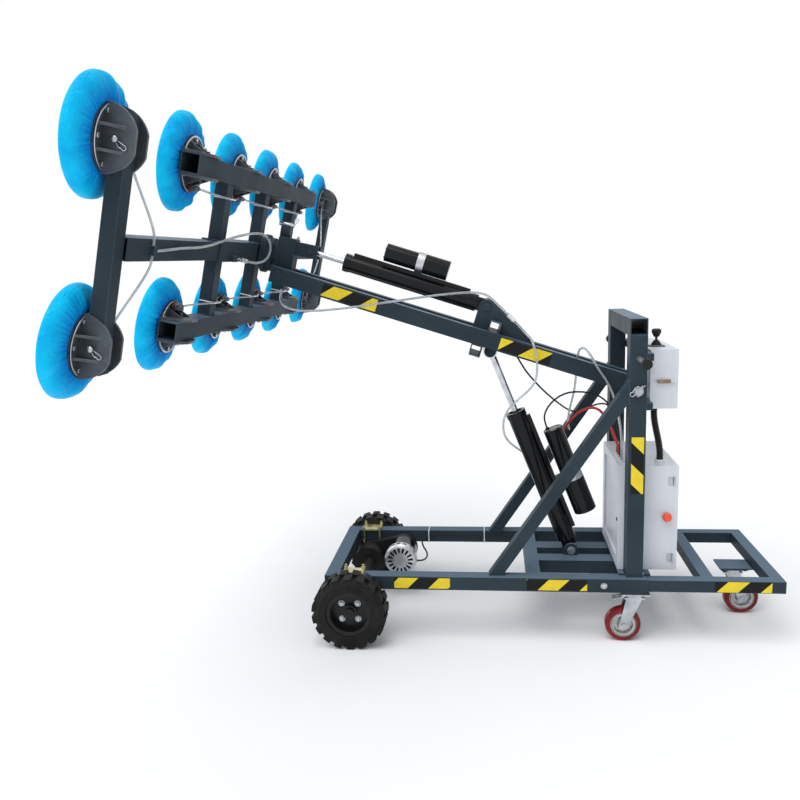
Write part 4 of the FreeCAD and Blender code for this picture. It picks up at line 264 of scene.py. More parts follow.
def finish(
    name, tone, other, scale=9.0, rough=(0.35, 0.5), bump=0.05, grain=260.0, edge=None, upper=None, **sockets
):
    """Two tones mixed by a noise, a painted sky reflection on faces that look up, a tone on edges that is
    partly wear and partly painted highlight, a roughness that wanders and a fine grain as bump, all on Object
    coordinates. Tones are screen colours."""
    material = bpy.data.materials.new(name)
    material.use_nodes = True
    tree = material.node_tree
    shader = tree.nodes["Principled BSDF"]
    for socket, value in sockets.items():
        shader.inputs[socket.replace("_", " ")].default_value = value
    place = coordinate(tree, "Object")
    cloud = noise(tree, place, scale, 5.0)
    colour = mixed(tree, ranged(tree, cloud, 0.35, 0.65), linear(*tone), linear(*other))
    if upper:
        # Faces that look up take the upper tone: a painted reflection of the sky.
        sky_sheen_share = ranged(tree, one_of(tree, face_normal(tree), 2), 0.6, 0.95, 0.0, 0.7)
        colour = mixed(tree, sky_sheen_share, colour, linear(*upper))
    if edge:
        smooth = wire(tree, "ShaderNodeBevel", {"Radius": EDGE_RADIUS}, samples=4).outputs[0]
        match = vector_maths(tree, "DOT_PRODUCT", smooth, face_normal(tree), "Value")
        # The edge tone is partly wear and partly a painted highlight.
        wear_and_highlight = ranged(tree, match, 0.99, 0.80, 0.0, 0.8)
        colour = mixed(tree, maths(tree, "MULTIPLY", wear_and_highlight, cloud), colour, linear(*edge))
    tree.links.new(colour, shader.inputs["Base Color"])
    dust = noise(tree, place, scale * DUST_SCALE, 3.0)
    tree.links.new(ranged(tree, dust, 0.3, 0.7, *rough), shader.inputs["Roughness"])
    fine = noise(tree, place, grain, 2.0)
    relief = wire(tree, "ShaderNodeBump", {"Height": fine, "Strength": bump, "Distance": GRAIN_HEIGHT})
    tree.links.new(relief.outputs[0], shader.inputs["Normal"])
    return material


# %% Paints, plastics and rubbers
# The upper tone is a painted reflection of the sky on faces that look up; the edge tone is partly wear,
# partly a painted highlight.
slate_paint = finish(
    "slate_paint", (49, 59, 66), (56, 67, 75), scale=4, rough=(0.3, 0.38), grain=320,
    edge=(112, 132, 150), upper=(104, 124, 142), Specular_IOR_Level=0.015,
)
# Its edge tone is partly wear, partly a painted highlight.
white_coat = finish(
    "white_coat", (218, 221, 227), (208, 212, 220), scale=5, rough=(0.34, 0.46), bump=0.08, grain=420,
    edge=(240, 242, 245),
)
stop_red = finish("stop_red", (226, 66, 34), (238, 84, 44), scale=30, rough=(0.28, 0.4), bump=0.03)
black_plastic = finish(
    "black_plastic", (15, 15, 17), (25, 26, 28), scale=18, rough=(0.42, 0.6), bump=0.18, grain=620,
    Specular_IOR_Level=0.28,
)
# Its edge tone is partly wear, partly a painted highlight on the rim's lip.
rim_black = finish(
    "rim_black", (10, 10, 11), (18, 18, 19), scale=10, rough=(0.26, 0.4), bump=0.08, grain=300,
    edge=(92, 94, 96), Specular_IOR_Level=0.3,
)
cup_rubber = finish(
    "cup_rubber", (26, 26, 27), (40, 40, 41), scale=14, rough=(0.55, 0.75), bump=0.15, grain=420
)
# Its edge tone is partly dust, partly a painted highlight.
tyre_rubber = finish(
    "tyre_rubber", (13, 13, 13), (30, 30, 29), rough=(0.5, 0.75), bump=0.32,
    edge=(96, 95, 90), Specular_IOR_Level=0.18,
)
tread_red = finish(
    "tread_red", (128, 20, 24), (98, 16, 20), scale=22, rough=(0.2, 0.34), bump=0.06, Specular_IOR_Level=0.3
)
cable_black = finish(
    "cable_black", (14, 14, 15), (24, 24, 25), scale=30, rough=(0.4, 0.58), bump=0.12, grain=700,
    Specular_IOR_Level=0.28,
)
cable_red = finish(
    "cable_red", (196, 40, 28), (168, 34, 26), scale=30, rough=(0.4, 0.55), bump=0.1, grain=700
)
clear_hose = finish(
    "clear_hose", (214, 220, 222), (196, 204, 208), scale=20, rough=(0.12, 0.24), grain=300,
    Transmission_Weight=0.62, IOR=1.42,
)
tie_white = finish("tie_white", (236, 238, 240), (222, 226, 230), scale=40)
port_brown = finish("port_brown", (104, 44, 34), (84, 36, 30), scale=30, rough=(0.45, 0.6), bump=0.12)

# %% Plated steel, castings and bare metal
bright_zinc = finish(
    "bright_zinc", (196, 200, 204), (166, 170, 175), scale=24, rough=(0.24, 0.42), bump=0.06, grain=500,
    Metallic=1.0,
)
yellow_zinc = finish(
    "yellow_zinc", (206, 196, 142), (182, 184, 150), scale=26, rough=(0.25, 0.42), bump=0.06, grain=500,
    Metallic=0.9,
)
# Its edge tone is partly wear, partly a painted highlight.
black_casting = finish(
    "black_casting", (9, 10, 12), (14, 16, 19), scale=7, rough=(0.14, 0.24), bump=0.04, grain=380,
    edge=(66, 70, 74), Specular_IOR_Level=0.24,
)
rod_chrome = finish(
    "rod_chrome", (214, 216, 220), (188, 190, 196), scale=30, rough=(0.10, 0.22), bump=0.04, grain=220,
    Metallic=1.0,
)
# Its edge tone is partly wear, partly a painted highlight along the plates' edges.
disc_casting = finish(
    "disc_casting", (86, 92, 97), (70, 76, 81), scale=16, rough=(0.38, 0.56), bump=0.22, grain=420,
    edge=(170, 174, 176), Metallic=0.55,
)
gearbox_iron = finish(
    "gearbox_iron", (18, 18, 19), (32, 31, 30), scale=12, rough=(0.5, 0.7), bump=0.3, grain=300,
    Specular_IOR_Level=0.25,
)
latch_bronze = finish(
    "latch_bronze", (128, 108, 84), (152, 132, 106), scale=40, rough=(0.25, 0.4), Metallic=1.0
)
aluminium = finish(
    "aluminium", (206, 208, 212), (180, 184, 190), scale=26, rough=(0.28, 0.44), bump=0.12, grain=500,
    Metallic=1.0,
)
print("finishes", len(bpy.data.materials))


# %% [markdown]
# Some CAD nodes are one solid of two materials: a caster is a red tread on a bright hub, and a handle is
# a bright bar with a black cap. Nothing needs cutting. The material measures how far a point lies from
# an axis, or how far it lies along it, and swaps the colour there, so the border stays sharp.

# %% Casters with bright hubs and handles with black caps
CASTERS = ("left", "right", "rear")
HUB_TONE = (178, 180, 176)
HUB_METAL = 0.6
HUB_RADIUS = 0.054
WITHOUT_Y = (1.0, 0.0, 1.0)
BAR_TONE = (150, 152, 152)
CAP_LENGTH = 0.0282


def lay_over(material, share, tone, metal=0.0):
    """A tone mixed over a finish's own colour by a share, which is metal as far as a number says."""
    tree = material.node_tree
    shader = tree.nodes["Principled BSDF"]
    was = shader.inputs["Base Color"].links[0].from_socket
    tree.links.new(mixed(tree, share, was, linear(*tone)), shader.inputs["Base Color"])
    if metal:
        tree.links.new(maths(tree, "MULTIPLY", share, metal), shader.inputs["Metallic"])


wheel_finishes = {}
for side in CASTERS:
    wheel_finish = tread_red.copy()
    wheel_finish.name = f"caster_tread_{side}"
    wheel_tree = wheel_finish.node_tree
    hub = tuple(joint_place(f"{side}_roll") * WITHOUT_Y)
    flat_place = vector_maths(wheel_tree, "MULTIPLY", coordinate(wheel_tree, "Object"), WITHOUT_Y)
    distance = vector_maths(wheel_tree, "DISTANCE", flat_place, hub, "Value")
    lay_over(wheel_finish, maths(wheel_tree, "LESS_THAN", distance, HUB_RADIUS), HUB_TONE, HUB_METAL)
    wheel_finishes[side] = wheel_finish
handle_finish = black_plastic.copy()
handle_finish.name = "handle_bar_and_cap"
handle_tree = handle_finish.node_tree
handle_side = maths(handle_tree, "ABSOLUTE", one_of(handle_tree, coordinate(handle_tree, "Object"), 1))
cap_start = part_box("side_handles")[1].y - CAP_LENGTH
lay_over(handle_finish, maths(handle_tree, "LESS_THAN", handle_side, cap_start), BAR_TONE, 1.0)
print("finishes in two parts", [m.name for m in wheel_finishes.values()], handle_finish.name)

# %% Finishes on the CAD nodes
NODE_FINISHES = [
    (slate_paint, "chassis_rails chassis_members mast_tubes mast_braces rear_frame boom_rails boom_brackets"),
    (slate_paint, "boom_pins tilt_head frame_centre frame_beams arm_left arm_right"),
    (white_coat, "cabinet_body cabinet_door control_box control_door"),
    (stop_red, "estop_button"),
    (bright_zinc, "base_pins box_hardware caster_plates caster_fork_left caster_fork_right caster_fork_rear"),
    (bright_zinc, "brake_pedal_left brake_pedal_right"),
    (yellow_zinc, "axle_clamps"),
    (black_plastic, "joystick"),
    (handle_finish, "side_handles"),
    (black_casting, "lift_body lift_motor tilt_body tilt_motor drive_motor"),
    (rim_black, "drive_rim_left drive_rim_right"),
    (rod_chrome, "lift_rod tilt_rod"),
    (disc_casting, "cup_discs_frame cup_discs_left cup_discs_right"),
    (gearbox_iron, "transaxle"),
    (cup_rubber, "cup_rubbers_frame cup_rubbers_left cup_rubbers_right"),
    (tyre_rubber, "drive_tyre_left drive_tyre_right"),
]
NODE_FINISHES += [(wheel_finishes[side], f"caster_wheel_{side}") for side in CASTERS]
for material, names in NODE_FINISHES:
    for name in names.split():
        mesh = frame["nodes"][name].data
        mesh.materials.clear()
        mesh.materials.append(material)
print("dressed", sum(len(names.split()) for _, names in NODE_FINISHES), "nodes")

# %% [markdown]
# ## Hoses and cables
# The vacuum hoses are clear, the motor leads black, and one battery lead is red. A hose between two
# fixed ends takes one smooth line, so its route is the control points of a single NURBS spline. Its tube
# is that spline's own bevel, turned into a mesh. The path is read back from the bare spline.

# %% A cord along a route
def spline_mesh(name, route, radius):
    """The mesh of one open NURBS spline led by control points, bare or with a round bevel."""
    curve = bpy.data.curves.new(name, "CURVE")
    curve.dimensions = "3D"
    spline = curve.splines.new("NURBS")
    spline.points.add(len(route) - 1)
    spline.points.foreach_set("co", np.column_stack([route, np.ones(len(route))]).ravel())
    spline.order_u = 3
    spline.use_endpoint_u = True
    spline.resolution_u = 8
    curve.bevel_depth = radius
    curve.bevel_resolution = 3
    curve.use_fill_caps = True
    line = bpy.data.objects.new(name, curve)
    mesh = bpy.data.meshes.new_from_object(line)
    bpy.data.objects.remove(line)
    bpy.data.curves.remove(curve)
    return mesh


def cord_piece(name, route, part, kind):
    """A tube along a route in millimetres of a part's frame."""
    radius, material = kind
    points = placed(route, part)
    bare = spline_mesh(name + "_line", points, 0.0)
    path = np.zeros(len(bare.vertices) * 3)
    bare.vertices.foreach_get("co", path)
    bpy.data.meshes.remove(bare)
    path = path.reshape(-1, 3)
    mesh = spline_mesh(name, points, radius / 1000)
    mesh.name = name
    mesh.polygons.foreach_set("use_smooth", np.ones(len(mesh.polygons), bool))
    mesh.materials.append(material)
    piece = linked(name, mesh)
    return piece


# %% Kinds of cord, each with its radius and finish
HOSE = (5, clear_hose)
THIN_HOSE = (4, clear_hose)
LEAD = (4, cable_black)
BATTERY_LEAD = (6, cable_red)

# %% Hose along the boom
FRONT_HOSE = [
    (1604.2, 0, -65), (1602, 0, -90), (1595, 8, -116), (1572, 28, -131), (1530, 54, -134),
    (1470, 84, -123), (1392, 110, -96), (1300, 126, -58), (1205, 134, -16), (1112, 134, 28),
    (1018, 127, 72), (926, 112, 114), (838, 94, 150), (766, 77, 177), (702, 63, 186), (640, 58, 155.1),
    (586.5, 58, 127.2),
]
DROP_HOSE = [
    (551, 58, 108.5), (524.4, 58, 94.7), (485, 71, 71), (456, 107, 58), (436, 128, 26), (412, 130, -18),
    (395, 126, -62), (386, 116, -106), (396, 100, -152), (422, 88, -200), (448, 80, -246),
    (463, 80, -292), (458, 70, -348), (435, 50, -396), (401, 20, -427), (365, -20, -447),
    (331, -64, -467), (294, -103, -487), (252, -140, -503), (214, -173, -511), (190, -197, -512),
    (175.4, -216, -512.1), (175.4, -236.7, -512.1),
]
front_hose = cord_piece("front_hose", FRONT_HOSE, BOOM, HOSE)
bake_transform(front_hose)
drop_hose = cord_piece("drop_hose", DROP_HOSE, BOOM, HOSE)
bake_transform(drop_hose)
for piece in (front_hose, drop_hose):
    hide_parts("boom_hose")

# %% Cords between the cabinet, the mast and the boom
ARCH_HOSE = [
    (35, 140, 763), (35, 140, 812), (38, 138, 880), (48, 132, 945), (60, 127, 1005), (76, 123, 1055),
    (97, 122, 1102), (126, 122, 1145), (152, 121, 1188), (170, 115, 1222), (186, 98, 1244),
    (200, 70, 1246), (208, 45, 1233), (212, 26, 1211), (213.5, 13, 1189), (214, -2, 1174),
    (214, -20, 1170), (214, -41.7, 1170),
]
UNDER_HOSE = [
    (213.7, 41.7, 1151), (213.7, 24, 1151), (214, 10, 1145.5), (215, 1, 1131), (217, -3, 1106),
    (221, -4, 1055), (230, -22, 1003), (238, -56, 952), (240, -98, 908), (237, -142, 868),
    (230, -184, 834), (222.6, -214, 815), (222.6, -237, 815),
]
LIFT_CABLE = [
    (344.9, 0, 876.2), (353.4, 0, 898.3), (358, 6, 933), (343, 14, 974), (306, 22, 1016), (258, 30, 1042),
    (203, 40, 1047), (152, 50, 1041), (112, 62, 1024), (82, 74, 996), (60, 86, 950), (44, 94, 890),
    (35, 100, 825), (35, 100, 763),
]
TILT_CABLE = [
    (512.1, 41.7, 1261.4), (512.1, 26, 1261.4), (504, 18, 1249), (490, 17, 1226), (470, 18, 1194),
    (442, 8, 1143), (392, -18, 1079), (334, -66, 1014), (272, -130, 955), (232, -184, 920),
    (196, -204, 906), (158, -196, 918), (126, -160, 942), (98, -104, 964), (74, -40, 975), (54, -8, 950),
    (44, 8, 905), (38, 16, 850), (35, 20, 805), (35, 20, 763),
]
RED_CABLE = [
    (301.4, -237, 700), (301.4, -213, 700), (298, -190, 716), (292, -164, 744), (282, -134, 784),
    (266, -100, 836), (242, -70, 884), (206, -50, 930), (164, -40, 956), (126, -28, 960), (98, -8, 942),
    (78, 22, 908), (60, 44, 862), (43, 57, 818), (35, 60, 790), (35, 60, 763),
]
DRIVE_CABLE = [
    (972, -130, 175), (950, -130, 175), (931, -142, 179), (923, -166, 188), (930, -192, 200),
    (947, -213, 214), (957, -231, 236), (945, -243, 256), (913, -249, 267), (868, -250, 268),
    (800, -249, 263), (725, -250, 256), (640, -247, 252), (560, -242, 252), (505, -235, 255),
    (463, -235, 255),
]
arch_hose = cord_piece("arch_hose", ARCH_HOSE, MAST, HOSE)
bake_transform(arch_hose)
under_hose = cord_piece("under_hose", UNDER_HOSE, MAST, HOSE)
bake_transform(under_hose)
lift_cable = cord_piece("lift_cable", LIFT_CABLE, MAST, LEAD)
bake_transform(lift_cable)
tilt_cable = cord_piece("tilt_cable", TILT_CABLE, MAST, LEAD)
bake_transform(tilt_cable)
red_cable = cord_piece("red_cable", RED_CABLE, MAST, BATTERY_LEAD)
drive_cable = cord_piece("drive_cable", DRIVE_CABLE, MAST, LEAD)
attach(red_cable, "base")
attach(drive_cable, "base")
for piece in (arch_hose, under_hose, lift_cable, tilt_cable, red_cable, drive_cable):
    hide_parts("mast_cables")

# %% Hoses of the cup frame
ARM_HOSE = [
    (-80, 1268.5, 270), (-80, 1268.5, 246), (-91, 1250, 206), (-106, 1222, 156), (-121, 1193, 105),
    (-131, 1174, 66), (-135, 1165, 40), (-135, 1165, 15),
]
LOOP_HOSE = [
    (-135, 1152.7, 0), (-135, 1105, 0), (-138, 1030, 6), (-140, 930, 12), (-141, 820, 14),
    (-143, 720, 22), (-148, 640, 36), (-158, 555, 54), (-173, 470, 72), (-190, 390, 86), (-206, 316, 92),
    (-217, 258, 82), (-222, 214, 58), (-222, 192, 26), (-216, 192, -6), (-203, 214, -28),
    (-184, 258, -37), (-164, 312, -33), (-142, 362, -25), (-142, 400, -25),
]
ROW_HOSE = [
    (-80, 735.5, 213), (-80, 712, 213), (-92, 662, 208), (-114, 602, 204), (-131, 538, 201),
    (-132, 474, 202), (-115, 410, 205), (-93, 348, 209), (-80, 298, 213), (-80, 274.5, 213),
]
MIDDLE_HOSE = [
    (-80, 230.5, 213), (-80, 207, 213), (-93, 157, 208), (-115, 96, 204), (-131, 32, 201),
    (-132, -32, 202), (-115, -96, 205), (-93, -157, 209), (-80, -207, 213), (-80, -230.5, 213),
]
SIDES = (("left", 1), ("right", -1))
ROWS = (("upper", 1), ("lower", -1))
for side, sign in SIDES:
    for row, flip in ROWS:
        mirror = (1, sign, flip)
        arm_hose = cord_piece(f"arm_hose_{row}_{side}", np.array(ARM_HOSE) * mirror, HEAD, THIN_HOSE)
        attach(arm_hose, f"{side} arm")
        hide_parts(f"arm_hose_{side}")
        row_hose = cord_piece(f"row_hose_{row}_{side}", np.array(ROW_HOSE) * mirror, HEAD, THIN_HOSE)
        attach(row_hose, "cup frame")
        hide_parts("frame_hoses")
    loop_hose = cord_piece(f"loop_hose_{side}", np.array(LOOP_HOSE) * (1, sign, 1), HEAD, HOSE)
    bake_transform(loop_hose)
    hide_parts("loop_hoses")
for row, flip in ROWS:
    middle_hose = cord_piece(f"middle_hose_{row}", np.array(MIDDLE_HOSE) * (1, 1, flip), HEAD, THIN_HOSE)
    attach(middle_hose, "cup frame")
    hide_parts("frame_hoses")


# %% [markdown]
# ## Surfaces from numbers
# Small fittings are made from grids of points. A grid has rows and columns, each square between four
# neighbours is a face, and a grid that closes on itself joins its last column to its first. Two kinds
# cover almost everything here: a profile turned about an axis, and a round section along a path.

# %% Grids, turned profiles and sections along a path
def grid_faces(rows, columns, round_columns=False, round_rows=False):
    """Four corner numbers for each square of a grid, the last row or column joined to the first if round."""
    numbers = np.arange(rows * columns).reshape(rows, columns)
    if round_columns:
        numbers = np.column_stack([numbers, numbers[:, 0]])
    if round_rows:
        numbers = np.vstack([numbers, numbers[0]])
    corners = [numbers[:-1, :-1], numbers[1:, :-1], numbers[1:, 1:], numbers[:-1, 1:]]
    return np.stack(corners, -1).reshape(-1, 4)


def gathered(parts):
    """Several (points, faces) shapes as one, the later corner numbers moved up by the points before them."""
    starts = np.cumsum([0] + [len(points) for points, _ in parts[:-1]])
    faces = [faces + start for (_, faces), start in zip(parts, starts)]
    return np.concatenate([points for points, _ in parts]), np.concatenate(faces)


MERGE_WITHIN = 1e-6


def cleaned(mesh):
    """The mesh with doubles merged and faces turned outwards."""
    work = bmesh.new()
    work.from_mesh(mesh)
    bmesh.ops.remove_doubles(work, verts=work.verts, dist=MERGE_WITHIN)
    bmesh.ops.recalc_face_normals(work, faces=work.faces)
    work.to_mesh(mesh)
    work.free()
    return mesh


def made(name, shape, material, body, smooth=True):
    """A mesh object from a shape, riding on a body if one is named, with the slot of its finish."""
    points, faces = shape
    mesh = bpy.data.meshes.new(name)
    mesh.from_pydata(points, [], faces.tolist())
    cleaned(mesh)
    mesh.polygons.foreach_set("use_smooth", np.full(len(mesh.polygons), smooth))
    mesh.materials.append(material)
    piece = linked(name, mesh)
    if body:
        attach(piece, body)
    print(name, len(mesh.polygons), "faces")
    return piece


def across(axis):
    """Two directions square to an axis and to each other."""
    axis = np.asarray(axis, float) / np.linalg.norm(axis)
    helper = (0, 0, 1) if abs(axis[2]) < 0.9 else (1, 0, 0)
    first = np.cross(axis, helper)
    first /= np.linalg.norm(first)
    return axis, first, np.cross(axis, first)


def circle_spots(count, radius, start=0.0):
    """Evenly spread spots on a circle square to the first axis, the first half a step past the start."""
    angles = start + np.radians(360 / count * (np.arange(count) + 0.5))
    return radius * np.stack([np.zeros(count), np.cos(angles), np.sin(angles)], -1)


def turned(profile, base, axis, sides=24):
    """A profile of (along, radius) millimetres turned about an axis: base + along * axis + radius * ring."""
    axis, first, second = across(axis)
    along, radius = np.array(profile, float).T / 1000
    angle = np.linspace(0, 2 * np.pi, sides, endpoint=False)
    ring = np.cos(angle)[:, None] * first + np.sin(angle)[:, None] * second
    points = base + along[:, None, None] * axis + radius[:, None, None] * ring
    return points.reshape(-1, 3), grid_faces(len(along), sides, round_columns=True)


def bent_rod(path, normal, radius, sides=8, closed=False):
    """A round section along a flat path: each point's ring lies between the path's side and its normal. The
    radius is one number, a pair for side and normal, or a number for each point."""
    ahead_of = np.roll(path, -1, 0) - np.roll(path, 1, 0) if closed else np.gradient(path, axis=0)
    side_of = np.cross(ahead_of, normal)
    side_of /= np.linalg.norm(side_of, axis=1)[:, None]
    angle = np.linspace(0, 2 * np.pi, sides, endpoint=False)
    wide, high = np.broadcast_to(radius, (2,)) if np.size(radius) < 3 else (radius, radius)
    wide, high = np.broadcast_to(wide, len(path)), np.broadcast_to(high, len(path))
    ring = np.cos(angle)[None, :, None] * side_of[:, None] * wide[:, None, None]
    ring = ring + np.sin(angle)[None, :, None] * normal * high[:, None, None]
    points = path[:, None] + ring
    if not closed:
        points = np.concatenate([path[:1, None].repeat(sides, 1), points, path[-1:, None].repeat(sides, 1)])
    return points.reshape(-1, 3), grid_faces(len(points), sides, True, closed)


def rounded_loop(centre, half_one, half_two, power=9.0, count=96):
    """A rounded rectangle: shares of cosine and sine raised to 2 / power stretch a circle towards a box."""
    angle = np.linspace(0, 2 * np.pi, count, endpoint=False)
    one = np.sign(np.cos(angle)) * np.abs(np.cos(angle)) ** (2 / power)
    two = np.sign(np.sin(angle)) * np.abs(np.sin(angle)) ** (2 / power)
    return centre + one[:, None] * half_one + two[:, None] * half_two


print("helpers ready")

# %% [markdown]
# ## Crinkled covers
# Each cup wears a thin blue cover with elastic at its back, like a shower cap. Cloth simulation could
# drape it, but the form is known: a quarter of a rounded ring, from the elastic at the casting's edge to
# the lip. So the sheet is a function of the angle and of the way from elastic to lip. Gathers are waves
# that are tall at the elastic and die out towards the lip, and wide soft folds run between them.

# %% Cover finish
# A deeper blue, painted shade for the gathered sheet near the elastic.
PAINTED_SHADE_BLUE = (0, 112, 206)
CREASE_STRETCH = (46, 5, 1)
cover_blue = finish(
    "cover_blue", (0, 180, 244), (12, 206, 255), scale=14, rough=(0.42, 0.56), Specular_IOR_Level=0.1
)
cover_tree = cover_blue.node_tree
cover_place = coordinate(cover_tree, "UV")
cover_drawn = wire(cover_tree, "ShaderNodeMapping", {"Vector": cover_place, "Scale": CREASE_STRETCH})
creases = noise(cover_tree, cover_drawn.outputs[0], 1.6, 3.0, 0.8)
cover_relief = wire(cover_tree, "ShaderNodeBump", {"Height": creases, "Strength": 0.7, "Distance": 0.006})
cover_tree.links.new(cover_relief.outputs[0], cover_tree.nodes["Principled BSDF"].inputs["Normal"])
# Towards the elastic the blue deepens: painted shade where the sheet gathers in behind the casting.
painted_shade_by_elastic = ranged(cover_tree, one_of(cover_tree, cover_place, 1), 0.02, 0.62, 0.85, 0.0)
lay_over(cover_blue, painted_shade_by_elastic, PAINTED_SHADE_BLUE)

# %% Covers on the twelve cups
COVER_ROWS, COVER_COLUMNS = 34, 264
ROW_PLACES = (292, -292)
FRAME_CUPS = (-757.5, -252.5, 252.5, 757.5)
ARM_CUP = 1347.5
CUP_PLACES = [("frame", "cup frame", y, z) for z in ROW_PLACES for y in FRAME_CUPS]
CUP_PLACES += [(side, f"{side} arm", sign * ARM_CUP, z) for side, sign in SIDES for z in ROW_PLACES]
ELASTIC_BACK = -50
ELASTIC_RADIUS = 98.6
COVER_DEPTH = 48
COVER_WIDTH = 74.6
COVER_LIMIT = 173.8
LIP = 0.94
WAVE_COUNT = 7
FIRST_SEED = 11


def cover_sheet(seed):
    """Along and radius of a cover: a quarter of a rounded ring, plus gathers that fade towards the lip."""
    dice = np.random.default_rng(seed)
    way = np.linspace(0, 1, COVER_ROWS)[:, None]
    angle = np.linspace(0, 2 * np.pi, COVER_COLUMNS, endpoint=False)[None, :]
    sweep = np.minimum(way / LIP, 1) * np.pi / 2
    tuck = np.maximum(way - LIP, 0) / (1 - LIP)
    back = ELASTIC_BACK + COVER_DEPTH * (1 - np.cos(sweep) ** 0.8) + 1.0 * tuck
    reach = ELASTIC_RADIUS + COVER_WIDTH * np.sin(sweep) - 4.0 * tuck
    gathers = (1 - way) ** 1.6 * np.minimum(way / 0.08, 1)
    folds = 2.2 * np.sin(np.pi * way)
    wave = np.zeros((COVER_ROWS, COVER_COLUMNS))
    for fewest, most, low, high, twist, fade in (
        (26, 66, 0.5, 1.0, 1.5, gathers),
        (5, 19, 0.25, 0.6, 3.0, folds),
    ):
        for count in dice.integers(fewest, most, WAVE_COUNT):
            height = dice.uniform(low, high)
            phase = dice.uniform(0, 6.28)
            wave += height * np.sin(count * angle + phase + twist * way) * fade
    ripple = np.maximum(wave, -1.7)
    back = back - 1.6 * ripple * np.cos(sweep)
    reach = reach + np.maximum(0.55 * ripple * np.sin(sweep), -2.0) + 0.4 * np.abs(wave) * (1 - way)
    return back, np.minimum(reach, COVER_LIMIT), angle


for number, (group, body, side_place, row_place) in enumerate(CUP_PLACES):
    back, reach, angle = cover_sheet(FIRST_SEED + number)
    local = np.stack([back, side_place + reach * np.cos(angle), row_place + reach * np.sin(angle)], -1)
    points = placed(local.reshape(-1, 3), HEAD)
    faces = grid_faces(COVER_ROWS, COVER_COLUMNS, round_columns=True)
    cover_mesh = bpy.data.meshes.new(f"cover_{number}")
    cover_mesh.from_pydata(points, [], faces.tolist())
    corner_rows, corner_columns = np.divmod(faces, COVER_COLUMNS)
    past_seam = (corner_columns == 0) & (corner_columns.max(1, keepdims=True) > COVER_COLUMNS / 2)
    corner_columns = np.where(past_seam, COVER_COLUMNS, corner_columns)
    shares = np.stack([corner_columns / COVER_COLUMNS, corner_rows / COVER_ROWS], -1)
    cover_uv = cover_mesh.uv_layers.new(name="UVMap")
    cover_uv.data.foreach_set("uv", shares.ravel())
    cover_mesh.polygons.foreach_set("use_smooth", np.ones(len(faces), bool))
    cover_mesh.materials.append(cover_blue)
    cover = linked(f"cover_{group}_{number}", cover_mesh)
    if np.dot(cover_mesh.polygons[0].normal, heading((-1, 0, 0), HEAD)) < 0:
        cover_mesh.flip_normals()
    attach(cover, body)
    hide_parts(f"cup_covers_{group}")
print("covers", len(CUP_PLACES))

# %% [markdown]
# ## Fittings of the cups
# A spring clip keeps each cup's pin in place: a wire with one straight leg through the pin, a loop, and
# a wavy leg that snaps round it. A round cap ends the pin. The castings carry six hexagon screws and a
# bright machined rim, and a brown sleeve holds the hose at the port. The clip is a section along a
# path, and the rest are profiles turned about an axis.

# %% Clips, caps, screws, sleeves and rims
CLIP_LEG = (-16, 30)
CLIP_LOOP = 6.5
CLIP_LOOP_PLACE = 32


def spring_clip(size):
    """A flat wire: a straight leg, five eighths of a circle, and a leg that waves back beside the first."""
    leg = np.stack([np.linspace(*CLIP_LEG, 12), np.zeros(12)], -1)
    turn = np.linspace(-np.pi / 2, np.pi * 0.75, 18)
    loop = np.stack([CLIP_LOOP_PLACE + CLIP_LOOP * np.cos(turn), CLIP_LOOP + CLIP_LOOP * np.sin(turn)], -1)
    back = np.linspace(0, 1, 16)[1:]
    wave = np.stack([27 - 36 * back, 11 - 5.5 * back + 3.2 * np.sin(2 * np.pi * back)], -1)
    return np.concatenate([leg, loop, wave]) * size


def clip_shape(place, along_way, side_way, part, size=1.0, wire_radius=1.5):
    """The clip's flat line laid along two directions of a part's frame, with a round wire section."""
    flat = spring_clip(size)
    local = place + flat[:, :1] * along_way + flat[:, 1:] * side_way
    normal = heading(np.cross(along_way, side_way), part)
    return bent_rod(placed(local, part), normal / np.linalg.norm(normal), wire_radius / 1000)


HEX_HEAD = [(0, 0), (0, 7.6), (3.6, 7.6), (4.6, 6.6), (4.6, 0)]
PIN_CAP = [(-3, 6.1), (-3, 8.5), (-1, 9.6), (2, 9.6), (4, 7.5), (5, 4), (5.4, 0)]
RIM = [(-0.5, 90), (1.2, 91), (1.8, 94), (1.2, 97), (-0.5, 98), (-0.5, 90)]
SLEEVE = [(0, 14), (0, 17.5), (2, 18.5), (11, 18.5), (13, 17), (13, 14)]
FRAME_CLIP = (51, (-0.85, 0.5, 0), (0.5, 0.85, 0))
ARM_CLIP = (46, (-0.9, 0, -0.42), (0.42, 0, -0.9))
CAP_PAST_CLIP = 7.3
PIN_BACK = -92
DISC_BACK = -59
PORT_BACK = -54
PORT_REACH = 79
SCREW_CIRCLE = 82
SCREW_COUNT = 6
CUP_FITTINGS = {
    "cup_clips": bright_zinc, "cup_screws": bright_zinc, "port_sleeves": port_brown, "cup_rims": bright_zinc,
}
back_way = heading((-1, 0, 0), HEAD)
cup_shapes = {}
